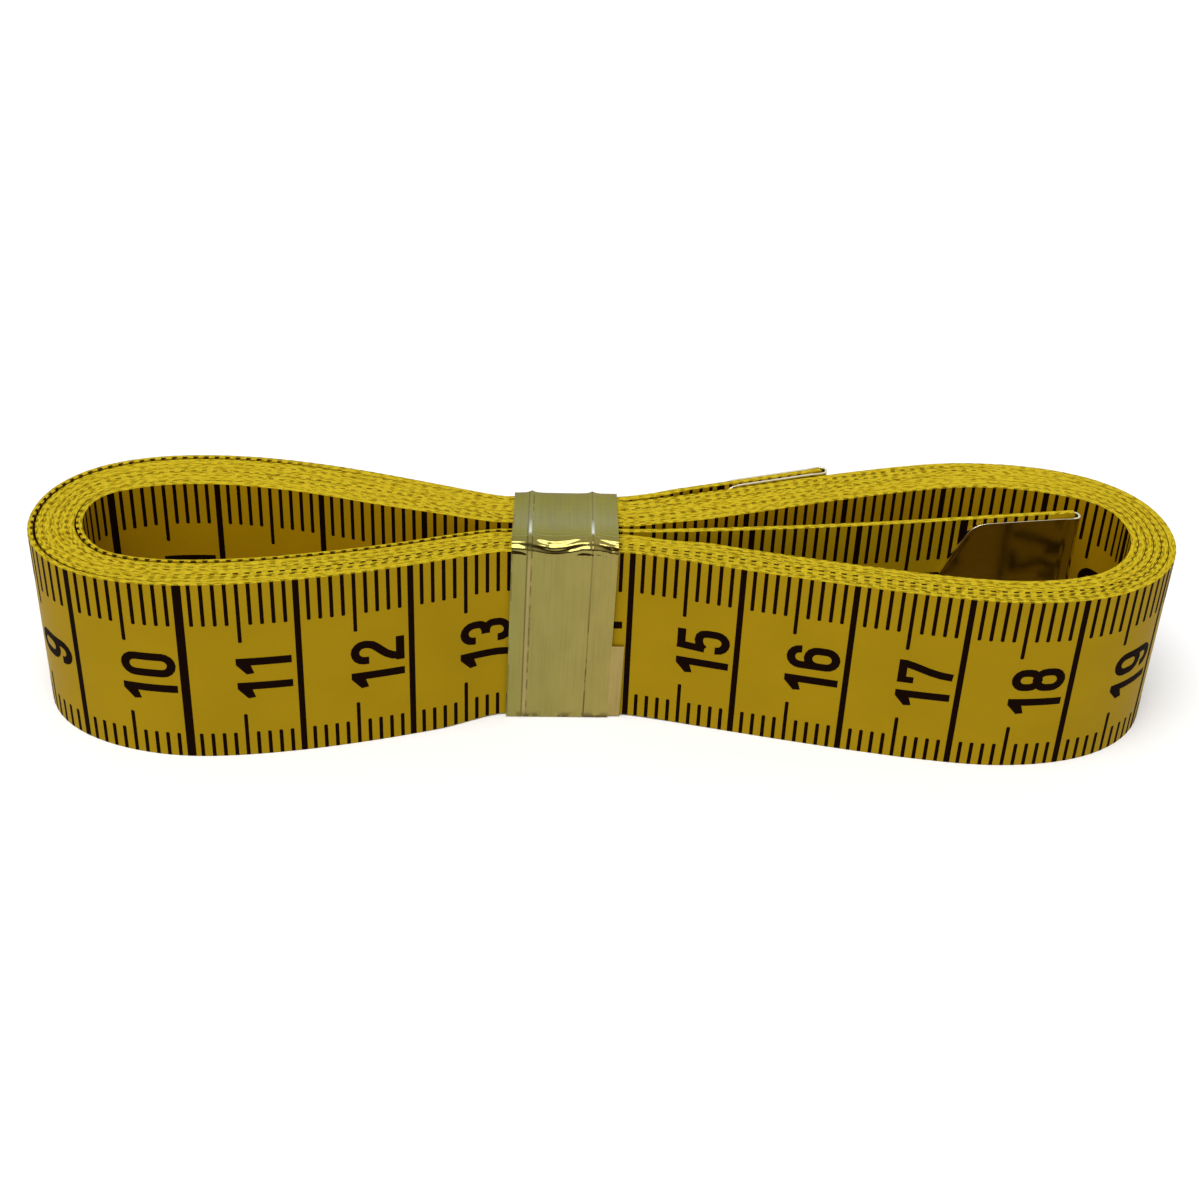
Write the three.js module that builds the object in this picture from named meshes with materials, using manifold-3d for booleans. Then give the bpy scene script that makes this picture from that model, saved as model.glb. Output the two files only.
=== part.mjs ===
// A tailor's measuring tape, wound into a hank with two loops and held at its waist by a gold band.
// The hank stands on the tape's long edge. +X runs along the hank, +Y to its back and +Z up, in millimetres.
import * as THREE from 'three';
import { mergeVertices } from 'three/addons/utils/BufferGeometryUtils.js';
import Module from 'manifold-3d';

// Tape
const TAPE_WIDTH = 18;
const TAPE_THICKNESS = 0.25;
const TURN_GAP = 0.42; // clear space between neighbouring turns at the waist
const LOOP_SLACK = 0.12; // how much wider that space is out in the loops
const FULL_TURNS = 6; // from the back of the waist; half a turn more ends the winding at the front

// Band: a strip wrapped once round the waist, with its last stretch lapped over its first on the front
const BAND_WIDTH = 9.8;
const BAND_THICKNESS = 0.25;
const BAND_CLEARANCE = 0.3; // to the tape, on all four sides
const BAND_CORNER = 0.6; // inner radius where it folds round the tape's edges
const BAND_FOOT = 0.1; // height of its underside above the table
const BAND_TRAVEL = 1; // how far it slides either way before the loops stop it
const BAND_SKEW = 1.1; // sideways advance from its first end to its last
const BAND_GLUE = 0.1; // glue line between the lapped layers
const BAND_FIRST_END = 7; // height on the front of the end that lies underneath
const BAND_LAST_END = 0.4; // height of the outer end above the band's underside
const RIB_HEIGHT = 0.3; // two creases run round the strip
const RIB_WIDTH = 1;
const RIB_OFFSETS = [-2.9, 2.5]; // from the strip's middle
const BAND_CORNER_STEPS = 4;

// Loops: centre line of the outermost turn, from the middle of the waist
const NECK_HALF = BAND_WIDTH / 2 + BAND_SKEW / 2; // straight stretch that the band holds
const LEFT_LOOP = {
  reach: 48.2, // far end of the loop
  bellyAt: 33.5, // where the loop is deepest
  belly: 11.5, // half of its depth there
  neckPull: 3, // how far the tape runs on straight as it leaves the neck
  flankPull: 13, // how early it levels out before the belly
  crownPull: 9, // how far it stays level after the belly
  endPull: 6.5, // how upright it stays at the far end
};
const RIGHT_LOOP = {
  reach: 56,
  bellyAt: 39.5,
  belly: 12.4,
  neckPull: 3,
  flankPull: 13,
  crownPull: 9.8,
  endPull: 7.4,
};
const FOOT_RUN = 12; // stretch past the neck over which the tape's edge comes down to the table
const NECK_STEPS = 1;
const FLANK_STEPS = 9;
const END_STEPS = 9;

// Free ends of the tape, which bend where they leave the neck on the right
const ROOT_MARGIN = 0.5; // from the band's furthest reach to the bend
const SEAM_GAP = 0.3; // between the hank and each free end
const FREE_STEPS = 6;
const INNER_TIP_GAP = 4; // from the tip to the innermost turn at the far end of the loop
const INNER_LEAVE_ANGLE = 6; // in degrees from the hank's axis
const INNER_ARRIVE_ANGLE = 3.5;
const OUTER_FREE = 4.6; // bare length
const OUTER_TIP_GAP = 0.85; // between the ferrule's tip and the turn inside it

// Ferrules: sheet metal folded over each end, with a nose on both cheeks
const FERRULE_LENGTH = 13.5; // from the fold to the nose
const FERRULE_SHOULDER = 9.4; // length along the tape's edges
const FERRULE_NOSE = 5; // height of the blunt nose
const FERRULE_ROUND = 1.4; // softening of the nose and shoulder corners
const FERRULE_SHEET = 0.25;
const FERRULE_CLEARANCE = 0.15; // to each face of the tape
const FERRULE_INSET = 0.3; // from the tape's long edges
const FERRULE_FOLD_STEPS = 5;
const FERRULE_ROUND_STEPS = 4;

// Derived sizes
const TURN_PITCH = TAPE_THICKNESS + TURN_GAP;
const QUARTER_COUNT = 4 * FULL_TURNS + 2;
const WAIST_HALF = (FULL_TURNS + 0.75) * TURN_PITCH; // spaces the turns evenly through the waist
const WAIST_LIFT = BAND_FOOT + BAND_THICKNESS + BAND_CLEARANCE;
const TAIL_ROOT = NECK_HALF + BAND_TRAVEL + ROOT_MARGIN;
const INNERMOST_INSET = (FULL_TURNS - 0.25) * (TURN_PITCH + LOOP_SLACK); // at the far end of the right loop
const INNER_TIP = RIGHT_LOOP.reach - INNERMOST_INSET - INNER_TIP_GAP;
const INNER_FREE = INNER_TIP - FERRULE_LENGTH - TAIL_ROOT;
const FERRULE_INSIDE = TAPE_THICKNESS / 2 + FERRULE_CLEARANCE; // from the tape's centre line
const FERRULE_OUTSIDE = FERRULE_INSIDE + FERRULE_SHEET;
const OUTER_STANDOFF = TAPE_THICKNESS / 2 + OUTER_TIP_GAP + FERRULE_OUTSIDE; // between centre lines

const MERGE_DISTANCE = 1e-4;
const HALVING_END = 1e-6;
const { smoothstep, degToRad, radToDeg } = THREE.MathUtils;
const wasm = await Module();
wasm.setup();

const YELLOW_TAPE = new THREE.MeshStandardMaterial({ color: 0xd9a813, roughness: 0.55, metalness: 0 });
const GOLD_FOIL = new THREE.MeshStandardMaterial({ color: 0xc9bd74, roughness: 0.25, metalness: 0.9 });
const BRIGHT_STEEL = new THREE.MeshStandardMaterial({ color: 0xb9b6ac, roughness: 0.22, metalness: 1 });

// Closed solid of a sheet, from a grid of points on its two faces: rows run along it, columns across it
function sheetSolid(rows) {
  const columns = rows[0].length;
  const inner = (row, column) => (row * columns + column) * 2;
  const outer = (row, column) => inner(row, column) + 1;
  const positions = rows.flat().flatMap((pair) => [...pair.inner.toArray(), ...pair.outer.toArray()]);
  const index = [];
  const quad = (a, b, c, d) => index.push(a, b, c, a, c, d);
  const lastRow = rows.length - 1;
  const last = columns - 1;
  for (let r = 0; r < lastRow; r++) {
    for (let c = 0; c < last; c++) {
      quad(outer(r, c), outer(r + 1, c), outer(r + 1, c + 1), outer(r, c + 1));
      quad(inner(r, c), inner(r, c + 1), inner(r + 1, c + 1), inner(r + 1, c));
    }
    quad(inner(r, 0), inner(r + 1, 0), outer(r + 1, 0), outer(r, 0));
    quad(outer(r, last), outer(r + 1, last), inner(r + 1, last), inner(r, last));
  }
  for (let c = 0; c < last; c++) {
    quad(inner(0, c), outer(0, c), outer(0, c + 1), inner(0, c + 1));
    quad(outer(lastRow, c), inner(lastRow, c), inner(lastRow, c + 1), outer(lastRow, c + 1));
  }
  const geometry = new THREE.BufferGeometry();
  geometry.setAttribute('position', new THREE.Float32BufferAttribute(positions, 3));
  geometry.setIndex(index);
  return geometry;
}

// Tape standing on edge along stations of a plan route, each with the normal on the route's right-hand side
// and the height of the tape's foot
function tapeSolid(stations) {
  const half = TAPE_THICKNESS / 2;
  const rows = stations.map(({ x, y, nx, ny, foot }) =>
    [foot, foot + TAPE_WIDTH].map((z) => ({
      inner: new THREE.Vector3(x - nx * half, y - ny * half, z),
      outer: new THREE.Vector3(x + nx * half, y + ny * half, z),
    })),
  );
  return sheetSolid(rows);
}

// Half outline of a loop, from the middle of the waist along its back to its far end
function loopOutline(loop) {
  const { reach, bellyAt, belly, neckPull, flankPull, crownPull, endPull } = loop;
  const outline = new THREE.Path();
  outline.moveTo(0, WAIST_HALF);
  outline.lineTo(NECK_HALF, WAIST_HALF);
  outline.bezierCurveTo(NECK_HALF + neckPull, WAIST_HALF, bellyAt - flankPull, belly, bellyAt, belly);
  outline.bezierCurveTo(bellyAt + crownPull, belly, reach, endPull, reach, 0);
  return outline;
}

// A place on a loop's outline, with what the turns need there
function outlineStation(loop, curve, t) {
  const { x, y } = curve.getPoint(t);
  const along = curve.getTangent(t);
  return {
    x,
    y,
    nx: -along.y,
    ny: along.x,
    share: x / loop.reach,
    pitch: TURN_PITCH + LOOP_SLACK * smoothstep(x, NECK_HALF, loop.bellyAt),
    foot: WAIST_LIFT * (1 - smoothstep(x, NECK_HALF, NECK_HALF + FOOT_RUN)),
  };
}

function quarterStations(loop) {
  const [neck, flank, end] = loopOutline(loop).curves;
  const stations = [outlineStation(loop, neck, 0)];
  for (const [curve, steps] of [[neck, NECK_STEPS], [flank, FLANK_STEPS], [end, END_STEPS]]) {
    for (let k = 1; k <= steps; k++) {
      stations.push(outlineStation(loop, curve, k / steps));
    }
  }
  return stations;
}

// The same place in another quarter of the plan, moved in by the turns that lie outside it
function woundStation({ x, y, nx, ny, share, pitch, foot }, { sideX, sideY, outbound }, quarter) {
  const turn = (quarter + (outbound ? share : 1 - share)) / 4;
  const inset = turn * pitch;
  return {
    x: sideX * (x - nx * inset),
    y: sideY * (y - ny * inset),
    nx: sideX * nx,
    ny: sideY * ny,
    foot,
  };
}

// The quarters of a turn in the order that the tape passes them
const BACK_LEFT = { loop: LEFT_LOOP, sideX: -1, sideY: 1, outbound: true };
const FRONT_LEFT = { loop: LEFT_LOOP, sideX: -1, sideY: -1, outbound: false };
const FRONT_RIGHT = { loop: RIGHT_LOOP, sideX: 1, sideY: -1, outbound: true };
const BACK_RIGHT = { loop: RIGHT_LOOP, sideX: 1, sideY: 1, outbound: false };
const QUARTERS = [BACK_LEFT, FRONT_LEFT, FRONT_RIGHT, BACK_RIGHT];

// The share of a curve at which a test stops being true, found by halving
function lastShare(test) {
  let low = 0;
  let high = 1;
  while (high - low > HALVING_END) {
    const middle = (low + high) / 2;
    if (test(middle)) {
      low = middle;
    } else {
      high = middle;
    }
  }
  return low;
}

// Where the tape, coming from its outer end, passes a given x on the back right flank
function outerStart(x) {
  const flank = loopOutline(RIGHT_LOOP).curves[1];
  const share = lastShare((t) => flank.getPoint(t).x < x);
  return woundStation(outlineStation(RIGHT_LOOP, flank, share), BACK_RIGHT, -1);
}

// Direction in which the outer end lies along the back right flank, in degrees
function outerHeading(root) {
  const flank = loopOutline(RIGHT_LOOP).curves[1];
  const tipAt = (t) => {
    const { x, y, nx, ny } = woundStation(outlineStation(RIGHT_LOOP, flank, t), BACK_RIGHT, 3);
    return new THREE.Vector2(x + nx * OUTER_STANDOFF - root.x, y + ny * OUTER_STANDOFF - root.y);
  };
  const length = SEAM_GAP / 2 + OUTER_FREE + FERRULE_LENGTH;
  const tip = tipAt(lastShare((t) => tipAt(t).length() < length));
  return radToDeg(tip.angle());
}

// Route of the wound tape, from the bend of its outer end to the bend of its inner end
function hankStations() {
  const route = [outerStart(TAIL_ROOT - SEAM_GAP / 2)];
  const neck = quarterStations(RIGHT_LOOP).slice(0, NECK_STEPS + 1).reverse();
  route.push(...neck.map((station) => woundStation(station, BACK_RIGHT, -1)));
  for (let quarter = 0; quarter < QUARTER_COUNT; quarter++) {
    const place = QUARTERS[quarter % 4];
    const stations = quarterStations(place.loop);
    if (!place.outbound) {
      stations.reverse();
    }
    const fresh = stations.slice(1);
    route.push(...fresh.map((station) => woundStation(station, place, quarter)));
  }
  const waist = route[route.length - 1];
  route.push({ ...waist, x: TAIL_ROOT - SEAM_GAP / 2 });
  return route;
}

// A free end from its root: a bare stretch that bends evenly, then a straight one inside the ferrule
function freeEndStations({ free, leave, arrive }) {
  const place = { x: 0, y: 0 };
  const stations = [];
  const advance = (length, degrees) => {
    place.x += length * Math.cos(degToRad(degrees));
    place.y += length * Math.sin(degToRad(degrees));
  };
  const note = (degrees) => {
    const turned = degToRad(degrees);
    stations.push({ ...place, nx: Math.sin(turned), ny: -Math.cos(turned), foot: WAIST_LIFT });
  };
  advance(SEAM_GAP / 2, leave);
  note(leave);
  const bend = (arrive - leave) / FREE_STEPS;
  for (let k = 1; k <= FREE_STEPS; k++) {
    advance(free / FREE_STEPS, leave + bend * (k - 0.5));
    note(leave + bend * k);
  }
  advance(FERRULE_LENGTH, arrive);
  note(arrive);
  return stations;
}

// Closed meshes to solids and back, for cuts
function solidOf(geometry) {
  geometry.deleteAttribute('normal');
  geometry.deleteAttribute('uv');
  const merged = mergeVertices(geometry, MERGE_DISTANCE);
  const mesh = new wasm.Mesh({
    numProp: 3,
    vertProperties: merged.attributes.position.array,
    triVerts: new Uint32Array(merged.index.array),
  });
  return new wasm.Manifold(mesh);
}

function geometryOf(solid) {
  const { vertProperties, triVerts } = solid.getMesh();
  const geometry = new THREE.BufferGeometry();
  geometry.setAttribute('position', new THREE.Float32BufferAttribute(vertProperties, 3));
  geometry.setIndex([...triVerts]);
  return geometry;
}

// Ferrule with the tape's tip at its origin and its fold towards +X: a folded strip, trimmed to its nose
function ferruleGeometry() {
  const height = TAPE_WIDTH - 2 * FERRULE_INSET;
  const fold = new THREE.Shape();
  fold.moveTo(-FERRULE_LENGTH, -FERRULE_OUTSIDE);
  fold.lineTo(0, -FERRULE_OUTSIDE);
  fold.absarc(0, 0, FERRULE_OUTSIDE, -Math.PI / 2, Math.PI / 2, false);
  fold.lineTo(-FERRULE_LENGTH, FERRULE_OUTSIDE);
  fold.lineTo(-FERRULE_LENGTH, FERRULE_INSIDE);
  fold.lineTo(0, FERRULE_INSIDE);
  fold.absarc(0, 0, FERRULE_INSIDE, Math.PI / 2, -Math.PI / 2, true);
  fold.lineTo(-FERRULE_LENGTH, -FERRULE_INSIDE);
  const strip = new THREE.ExtrudeGeometry(fold, {
    depth: height,
    bevelEnabled: false,
    curveSegments: FERRULE_FOLD_STEPS,
  });

  const cheek = new THREE.Shape();
  const nose = new THREE.Vector2(-FERRULE_LENGTH, FERRULE_NOSE / 2);
  const shoulder = new THREE.Vector2(-FERRULE_SHOULDER, height / 2);
  const slope = shoulder.clone().sub(nose).setLength(FERRULE_ROUND);
  const beyondFold = 2 * FERRULE_OUTSIDE;
  cheek.moveTo(beyondFold, -height / 2);
  cheek.lineTo(beyondFold, height / 2);
  cheek.lineTo(shoulder.x + FERRULE_ROUND, shoulder.y);
  cheek.quadraticCurveTo(shoulder.x, shoulder.y, shoulder.x - slope.x, shoulder.y - slope.y);
  cheek.lineTo(nose.x + slope.x, nose.y + slope.y);
  cheek.quadraticCurveTo(nose.x, nose.y, nose.x, nose.y - FERRULE_ROUND);
  cheek.lineTo(nose.x, FERRULE_ROUND - nose.y);
  cheek.quadraticCurveTo(nose.x, -nose.y, nose.x + slope.x, -nose.y - slope.y);
  cheek.lineTo(shoulder.x - slope.x, slope.y - shoulder.y);
  cheek.quadraticCurveTo(shoulder.x, -shoulder.y, shoulder.x + FERRULE_ROUND, -shoulder.y);
  const trim = new THREE.ExtrudeGeometry(cheek, {
    depth: 2 * beyondFold,
    bevelEnabled: false,
    curveSegments: FERRULE_ROUND_STEPS,
  });
  trim.translate(0, 0, -beyondFold);
  trim.rotateX(Math.PI / 2);
  trim.translate(0, 0, height / 2);
  return geometryOf(solidOf(strip).intersect(solidOf(trim)));
}

// Route of the band's inner face round the waist, in the plane across the hank
function bandRoute() {
  const back = WAIST_HALF + TAPE_THICKNESS / 2 + BAND_CLEARANCE;
  const front = -(WAIST_HALF - TURN_PITCH / 2 + TAPE_THICKNESS / 2 + BAND_CLEARANCE);
  const under = BAND_FOOT + BAND_THICKNESS;
  const over = WAIST_LIFT + TAPE_WIDTH + BAND_CLEARANCE;
  const lap = BAND_THICKNESS + BAND_GLUE;
  const r = BAND_CORNER;
  const route = new THREE.Path();
  route.moveTo(front, under + BAND_FIRST_END);
  route.lineTo(front, under + r);
  route.absarc(front + r, under + r, r, Math.PI, 1.5 * Math.PI, false);
  route.lineTo(back - r, under);
  route.absarc(back - r, under + r, r, -Math.PI / 2, 0, false);
  route.lineTo(back, over - r);
  route.absarc(back - r, over - r, r, 0, Math.PI / 2, false);
  route.lineTo(front + r, over);
  route.absellipse(front + r, over - r, r + lap, r, Math.PI / 2, Math.PI, false);
  route.lineTo(front - lap, BAND_FOOT + BAND_LAST_END);
  return route;
}

function bandGeometry() {
  const route = bandRoute();
  const length = route.getLength();
  const ribColumns = RIB_OFFSETS.flatMap((offset) => [
    { across: offset - RIB_WIDTH / 2, rise: 0 },
    { across: offset, rise: RIB_HEIGHT },
    { across: offset + RIB_WIDTH / 2, rise: 0 },
  ]);
  const columns = [{ across: -BAND_WIDTH / 2, rise: 0 }, ...ribColumns, { across: BAND_WIDTH / 2, rise: 0 }];
  const rows = [];
  let travelled = 0;
  const addRow = (curve, t) => {
    const { x: y, y: z } = curve.getPoint(t);
    const along = curve.getTangent(t);
    const done = (travelled + curve.getLength() * t) / length;
    const shift = BAND_SKEW * (0.5 - done);
    const face = (column, rise) =>
      new THREE.Vector3(column.across + shift, y + along.y * rise, z - along.x * rise);
    rows.push(
      columns.map((column) => ({
        inner: face(column, column.rise),
        outer: face(column, column.rise + BAND_THICKNESS),
      })),
    );
  };
  for (const curve of route.curves) {
    const steps = curve.isLineCurve ? 1 : BAND_CORNER_STEPS;
    for (let k = rows.length === 0 ? 0 : 1; k <= steps; k++) {
      addRow(curve, k / steps);
    }
    travelled += curve.getLength();
  }
  return sheetSolid(rows);
}

// Least clear space between the tape and itself, measured from each point to every stretch half a turn away
function leastGap(route, stretchesInHalfTurn) {
  let least = Infinity;
  const point = new THREE.Vector3();
  const nearest = new THREE.Vector3();
  const places = route.map(({ x, y }) => new THREE.Vector3(x, y, 0));
  for (let i = 0; i < places.length; i++) {
    point.copy(places[i]);
    for (let j = i + stretchesInHalfTurn; j < places.length - 1; j++) {
      new THREE.Line3(places[j], places[j + 1]).closestPointToPoint(point, true, nearest);
      least = Math.min(least, nearest.distanceTo(point));
    }
  }
  return least - TAPE_THICKNESS;
}

function routeLength(route) {
  let total = 0;
  for (let i = 1; i < route.length; i++) {
    total += Math.hypot(route[i].x - route[i - 1].x, route[i].y - route[i - 1].y);
  }
  return total;
}

function part(name, geometry, material) {
  const mesh = new THREE.Mesh(geometry, material);
  mesh.name = name;
  return mesh;
}

// A free end of the tape with its ferrule, in a group placed at the bend
function freeEnd(prefix, { x, y }, end) {
  const stations = freeEndStations(end);
  const tip = stations[stations.length - 1];
  const group = new THREE.Group();
  group.position.set(x, y, 0);
  const tape = part(`${prefix}_tape_end`, tapeSolid(stations), YELLOW_TAPE);
  const ferrule = part(`${prefix}_ferrule`, ferruleGeometry(), BRIGHT_STEEL);
  ferrule.position.set(tip.x, tip.y, WAIST_LIFT + FERRULE_INSET);
  ferrule.rotation.z = degToRad(end.arrive);
  group.add(tape, ferrule);
  const places = stations.map((station) => ({ x: station.x + x, y: station.y + y }));
  return { group, places };
}

const hank = hankStations();
const outerRoot = outerStart(TAIL_ROOT);
const innerRoot = { x: TAIL_ROOT, y: hank[hank.length - 1].y };
const heading = outerHeading(outerRoot);
const outerEnd = freeEnd('outer', outerRoot, { free: OUTER_FREE, leave: heading, arrive: heading });
const innerEnd = freeEnd('inner', innerRoot, {
  free: INNER_FREE,
  leave: INNER_LEAVE_ANGLE,
  arrive: INNER_ARRIVE_ANGLE,
});

const tape = [...outerEnd.places.reverse(), ...hank, ...innerEnd.places];
const stretchesInHalfTurn = 2 * (NECK_STEPS + FLANK_STEPS + END_STEPS);
console.log(`least gap between turns ${leastGap(tape, stretchesInHalfTurn).toFixed(3)} mm`);
console.log(`tape length ${routeLength(tape).toFixed(1)} mm`);

const tapeMeasure = new THREE.Group();
tapeMeasure.name = 'tape_measure';
tapeMeasure.add(
  part('tape_hank', tapeSolid(hank), YELLOW_TAPE),
  part('gold_band', bandGeometry(), GOLD_FOIL),
  outerEnd.group,
  innerEnd.group,
);

// Origin at the middle of the footprint, on the table
const middle = new THREE.Box3().setFromObject(tapeMeasure).getCenter(new THREE.Vector3());
tapeMeasure.position.set(-middle.x, -middle.y, 0);

export default tapeMeasure;
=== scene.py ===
# %% [markdown]
# # A tailor's measuring tape, wound and banded
#
# The real thing is one ribbon of coated cloth, wound on its long edge into a hank with two loops. A strip
# of gold film holds it at the waist, and a folded metal ferrule closes each end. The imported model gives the
# places and the moving bodies. This lesson dresses them: the ribbon with its true thickness, the printed
# scale, the film and the metal. Everything is in metres, so `MM` turns a maker's millimetres into scene
# units.

# %% Load the frame
import math

import bpy
import numpy as np
from mathutils import Matrix, Vector, noise
from mathutils.geometry import delaunay_2d_cdt


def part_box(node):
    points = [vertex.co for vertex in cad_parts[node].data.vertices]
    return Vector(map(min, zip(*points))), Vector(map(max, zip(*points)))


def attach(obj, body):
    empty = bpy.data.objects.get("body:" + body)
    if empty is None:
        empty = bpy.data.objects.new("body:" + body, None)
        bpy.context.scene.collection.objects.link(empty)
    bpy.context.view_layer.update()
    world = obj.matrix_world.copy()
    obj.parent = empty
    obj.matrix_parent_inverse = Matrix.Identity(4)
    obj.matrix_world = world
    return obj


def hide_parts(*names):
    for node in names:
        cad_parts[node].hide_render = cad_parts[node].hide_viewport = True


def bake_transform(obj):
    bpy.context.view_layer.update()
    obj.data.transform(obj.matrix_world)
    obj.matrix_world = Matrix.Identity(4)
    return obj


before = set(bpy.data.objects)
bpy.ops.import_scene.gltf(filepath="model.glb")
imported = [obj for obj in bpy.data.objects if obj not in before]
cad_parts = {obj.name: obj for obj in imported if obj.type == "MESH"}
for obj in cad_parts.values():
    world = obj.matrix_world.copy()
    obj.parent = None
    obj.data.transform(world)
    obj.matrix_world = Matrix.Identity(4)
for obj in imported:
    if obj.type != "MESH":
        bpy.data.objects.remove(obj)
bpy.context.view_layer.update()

MM = 0.001

# %% [markdown]
# ## Camera
#
# The tape carries its own ruler, so the camera could be solved from its centimetre lines: where it stands,
# how it looks down and how far it is rolled. A camera set by eye would have needed many renders to come as
# close.

# %% Camera
PHOTO_SIDE = 1200  # pixels
FOCAL_LENGTH = 1866  # pixels
SENSOR_WIDTH = 36  # the lens and the sensor are in millimetres
CAMERA_PLACE = Vector((-7.9, -144.1, 107.0)) * MM
CAMERA_YAW = math.radians(-3.0)
CAMERA_PITCH = math.radians(34.02)
CAMERA_ROLL = math.radians(2.41)
NEAREST_SEEN = 10 * MM

camera = bpy.data.objects.new("camera", bpy.data.cameras.new("camera"))
camera.data.sensor_width = SENSOR_WIDTH
camera.data.lens = SENSOR_WIDTH * FOCAL_LENGTH / PHOTO_SIDE
camera.data.clip_start = NEAREST_SEEN
tilt = Matrix.Rotation(math.pi / 2 - CAMERA_PITCH, 4, "X") @ Matrix.Rotation(CAMERA_ROLL, 4, "Z")
camera.matrix_world = Matrix.Translation(CAMERA_PLACE) @ Matrix.Rotation(CAMERA_YAW, 4, "Z") @ tilt
bpy.context.scene.collection.objects.link(camera)
bpy.context.scene.camera = camera
print("lens", round(camera.data.lens, 2), "mm")

# %% [markdown]
# ## Route of the tape
#
# A soft ribbon could be wound by a cloth simulation, but a hank this tight is mostly contact, and its turns
# would fight each other. The winding follows a rule instead: every turn is the outermost outline moved in
# by one pitch, so the spiral comes from one formula. Soft steps and curves with two pulls are all that it
# needs.

# %% Soft steps and curves
CURVE_STEPS = 160


def smooth(values, low, high):
    """A soft step from 0 at low to 1 at high."""
    share = np.clip((np.asarray(values, float) - low) / (high - low), 0, 1)
    return share * share * (3 - 2 * share)


def between(values, rise, fall):
    """A soft hill: up from 0 to 1 between the first two places and down again between the other two."""
    return smooth(values, *rise) * (1 - smooth(values, *fall))


def bezier(points, steps=CURVE_STEPS):
    a, b, c, d = np.array(points, float)
    t = np.linspace(0, 1, steps)[:, None]
    s = 1 - t
    return s**3 * a + 3 * s**2 * t * b + 3 * s * t**2 * c + t**3 * d


print("a soft step a quarter of the way:", smooth(0.25, 0, 1))

# %% [markdown]
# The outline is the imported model's, with each quarter rounded a little further to follow the photograph.
# The turns lie closer together in front than at the back, and closest of all beside the band, as they do
# there.

# %% Sizes of the winding
TAPE_WIDTH = 18 * MM
FULL_TURNS = 6
FRONT_PITCH = 0.58 * MM  # from turn to turn
BACK_PITCH = 0.77 * MM
END_PITCH = 0.679 * MM
END_FROM = 0.85  # share of a loop's reach where the turns go over to the end's pitch
FRONT_WAIST = 5.15 * MM  # from the middle of the band to the outermost turn
BACK_WAIST = 4.05 * MM
NECK_HALF = 5.45 * MM  # the straight stretch under the band
NECK_PULL = 2.5 * MM
NECK_STEPS = 12
NECK_LIFT = 0.12 * MM  # the neck lies on the film
FOOT_RUN = 12 * MM  # from the neck to where the tape stands on the floor
TAIL_ROOT = 6.95 * MM  # from the middle of the band to where the free ends leave


def flank(side, outbound, reach, belly, pulls, pinch):
    """One quarter of a turn: its side, its far end, its widest place and the pulls that round it.

    The pinch is how much closer the turns lie beside the band, where they do so most, and where it ends.
    """
    waist, pitch = (BACK_WAIST, BACK_PITCH) if side[1] > 0 else (FRONT_WAIST, FRONT_PITCH)
    closer, *pinch_places = pinch
    millimetres = {"reach": reach, "belly": belly, "pulls": pulls, "pinch": pinch_places}
    sizes = {name: np.multiply(value, MM) for name, value in millimetres.items()}
    return {"side": side, "outbound": outbound, "waist": waist, "pitch": pitch, "closer": closer, **sizes}


QUARTERS = [
    flank((-1, 1), True, 47.9, (33.4, 11.05), (12.0, 13.7, 2.5), (0.14, 5, 17.5)),
    flank((-1, -1), False, 47.9, (33.5, 10.95), (12.0, 11.4, 4.7), (0.06, 5, 25)),
    flank((1, -1), True, 55.9, (39.7, 12.2), (8.7, 11.9, 5.8), (0.16, 8, 12.5)),
    flank((1, 1), False, 55.9, (38.7, 12.35), (8.3, 12.6, 6.6), (0.06, 7, 12)),
]


def outermost(quarter):
    """Plan of the outermost turn, from the middle of the waist to the loop's far end."""
    flank_pull, crown_pull, end_pull = quarter["pulls"]
    x, y = quarter["belly"]
    neck = (NECK_HALF, quarter["waist"])
    run = np.linspace((0, quarter["waist"]), neck, NECK_STEPS)
    rise = bezier([neck, (NECK_HALF + NECK_PULL, neck[1]), (x - flank_pull, y), (x, y)])
    end = bezier([(x, y), (x + crown_pull, y), (quarter["reach"], end_pull), (quarter["reach"], 0)])
    return np.vstack([run, rise[1:], end[1:]])


print("waist depth", round((FRONT_WAIST + BACK_WAIST) / MM, 2), "mm")

# %% [markdown]
# One turn passes four quarters: back left, front left, front right and back right. The inset grows steadily
# along each, which makes a spiral and not a set of closed rings. Front and back have their own pitch, and
# the two meet in one pitch at the loops' far ends.


# %% Winding
def unit_tangents(places):
    slope = np.gradient(places, axis=0)
    return slope / np.linalg.norm(slope, axis=1)[:, None]


def wind(number):
    """Rows of x, y, foot height and pitch along one quarter of a turn."""
    quarter = QUARTERS[number % 4]
    outline = outermost(quarter)
    tangent = unit_tangents(outline)
    outward = np.column_stack([-tangent[:, 1], tangent[:, 0]])
    x = outline[:, 0]
    share = x / quarter["reach"]
    turn = (number + (share if quarter["outbound"] else 1 - share)) / 4
    closest, gone = quarter["pinch"]
    pitch = quarter["pitch"] * (1 - quarter["closer"] * between(x, (0, closest), (closest, gone)))
    pitch = pitch + (END_PITCH - pitch) * smooth(share, END_FROM, 1)
    foot = NECK_LIFT * (1 - smooth(x, NECK_HALF, NECK_HALF + FOOT_RUN))
    places = (outline - outward * (turn * pitch)[:, None]) * quarter["side"]
    rows = np.column_stack([places, foot, pitch])
    return rows if quarter["outbound"] else rows[::-1]


start = wind(-1)
wound = [start[start[:, 0] < TAIL_ROOT]]
for number in range(4 * FULL_TURNS + 2):
    wound.append(wind(number)[1:])
wound = np.vstack(wound)
inner_root = np.array([TAIL_ROOT, wound[-1, 1], NECK_LIFT, FRONT_PITCH])
wound = np.vstack([wound, inner_root])
print("wound rows:", len(wound))

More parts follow.
